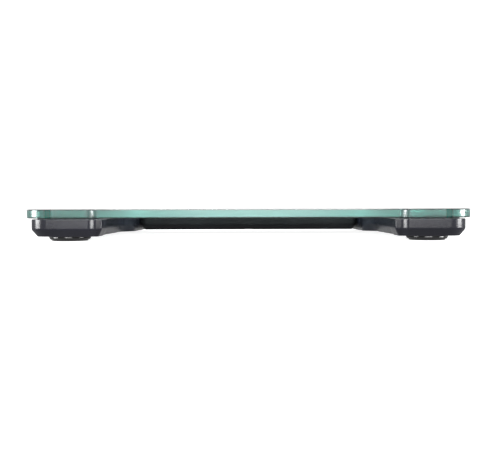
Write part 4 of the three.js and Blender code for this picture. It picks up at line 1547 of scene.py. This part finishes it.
class SCALE_OT_stage(bpy.types.Operator):
    """Build the floor, the lights and the camera"""

    bl_idname = "scale.stage"
    bl_label = "Stage"

    def execute(self, context):
        scene = context.scene
        self.floor()
        self.lights(scene)
        self.camera(scene)
        return {"FINISHED"}

    def floor(self):
        """A wide pale floor, just under the feet."""
        paint = Paint("Pale floor", (0.6, 0.6, 0.6), 0.8, emission_strength=1)
        cloud = paint.noise(3, 3)
        paint.tinted(cloud, (0.62, 0.62, 0.62), (0.58, 0.58, 0.58))
        path = paint.node("ShaderNodeLightPath").outputs
        seen = Signal(paint, path["Is Camera Ray"])
        through = Signal(paint, path["Is Transmission Ray"])
        paint.feed("Emission Color", paint.mix(through, (0.9, 0.9, 0.9), (0.42, 0.42, 0.42)))
        even = paint.node("ShaderNodeEmission", inputs={"Strength": 0.38})
        below = paint.node("ShaderNodeNewGeometry").outputs["Backfacing"]
        clear = paint.node("ShaderNodeBsdfTransparent")
        face = paint.shader_mix(seen + through, even.outputs[0], paint.shader.outputs[0])
        paint.finish_with(paint.shader_mix(below, face, clear.outputs[0]))
        size = 12
        corners = [(-size, -size), (size, -size), (size, size), (-size, size)]
        mesh = bpy.data.meshes.new("floor")
        mesh.from_pydata([(x, y, -0.1 * MM) for x, y in corners], [], [(0, 1, 2, 3)])
        mesh.materials.append(paint.material)
        linked("floor", mesh)

    def lights(self, scene):
        """Soft white surroundings, a large softbox above and one at each side."""
        world = bpy.data.worlds.new("Studio")
        scene.world = world
        world.use_nodes = True
        tree = world.node_tree
        maker = NodeMaker(tree)
        seen = maker.node("ShaderNodeLightPath").outputs["Is Camera Ray"]
        inputs = {"Value": seen, "To Min": 0.74, "To Max": 1.05}
        level = maker.node("ShaderNodeMapRange", inputs=inputs).outputs[0]
        tree.links.new(level, tree.nodes["Background"].inputs["Strength"])
        tree.nodes["Background"].inputs["Color"].default_value = (1, 1, 1, 1)
        scene.view_settings.view_transform = "Standard"
        boxes = {
            "overhead": ((0, -0.1, 1.6), (0, 0, 0), (0.75, 0.75), 18),
            "front_box": ((0, -1.9, 0.4), (0, 0, 0), (1.3, 0.7), 20),
            "left_box": ((-1.4, -0.52, 0.15), (0, 0, 0), (0.7, 0.4), 26),
            "right_box": ((1.4, -0.52, 0.15), (0, 0, 0), (0.7, 0.4), 24),
        }
        for name, (place, target, (wide, high), power) in boxes.items():
            lamp = bpy.data.lights.new(name, "AREA")
            lamp.shape = "RECTANGLE"
            lamp.size = wide
            lamp.size_y = high
            lamp.energy = power
            made = linked(name, lamp)
            made.location = place
            aim = Vector(target) - Vector(place)
            made.rotation_euler = aim.to_track_quat("-Z", "Y").to_euler()

    def camera(self, scene):
        """Level with the top of the glass, square to the front."""
        stage = scene.scale_stage
        data = bpy.data.cameras.new("camera")
        data.lens = stage.lens
        data.shift_y = stage.shift
        data.clip_start = 0.01
        camera = linked("camera", data)
        camera.location = (0, glass_low.y - stage.distance, glass_high.z)
        camera.rotation_euler = (math.pi / 2, stage.roll, 0)
        scene.camera = camera


OPERATORS = (
    SCALE_OT_stage,
    SCALE_OT_platform,
    SCALE_OT_rails,
    SCALE_OT_centre,
    SCALE_OT_door,
    SCALE_OT_button,
    SCALE_OT_feet,
    SCALE_OT_screws,
    SCALE_OT_display,
    SCALE_OT_coin,
    SCALE_OT_finishes,
)
SETTINGS = {
    "scale_platform": ScalePlatformSizes,
    "scale_shell": ScaleShellSizes,
    "scale_details": ScaleDetailSizes,
    "scale_colours": ScaleColours,
    "scale_stage": ScaleStageSettings,
}


class SCALE_PT_sidebar(bpy.types.Panel):
    """The scale's sizes and its build steps"""

    bl_label = "Bathroom Scale"
    bl_idname = "SCALE_PT_sidebar"
    bl_space_type = "VIEW_3D"
    bl_region_type = "UI"
    bl_category = "Scale"

    def draw(self, context):
        for name, group in SETTINGS.items():
            box = self.layout.box()
            box.label(text=group.__doc__)
            for key in group.__annotations__:
                box.prop(getattr(context.scene, name), key)
        for operator in OPERATORS:
            self.layout.operator(operator.bl_idname)


def register():
    """Adds the settings, the operators and the panel."""
    for group in SETTINGS.values():
        bpy.utils.register_class(group)
    for operator in (*OPERATORS, SCALE_PT_sidebar):
        bpy.utils.register_class(operator)
    for name, group in SETTINGS.items():
        setattr(bpy.types.Scene, name, PointerProperty(type=group))


def unregister():
    """Takes them away again."""
    for name in SETTINGS:
        delattr(bpy.types.Scene, name)
    for operator in (SCALE_PT_sidebar, *reversed(OPERATORS)):
        bpy.utils.unregister_class(operator)
    for group in reversed(list(SETTINGS.values())):
        bpy.utils.unregister_class(group)


def main():
    """Registers the classes and builds every piece in order."""
    register()
    for operator in OPERATORS:
        group, name = operator.bl_idname.split(".")
        getattr(getattr(bpy.ops, group), name)()


if __name__ == "__main__":
    main()
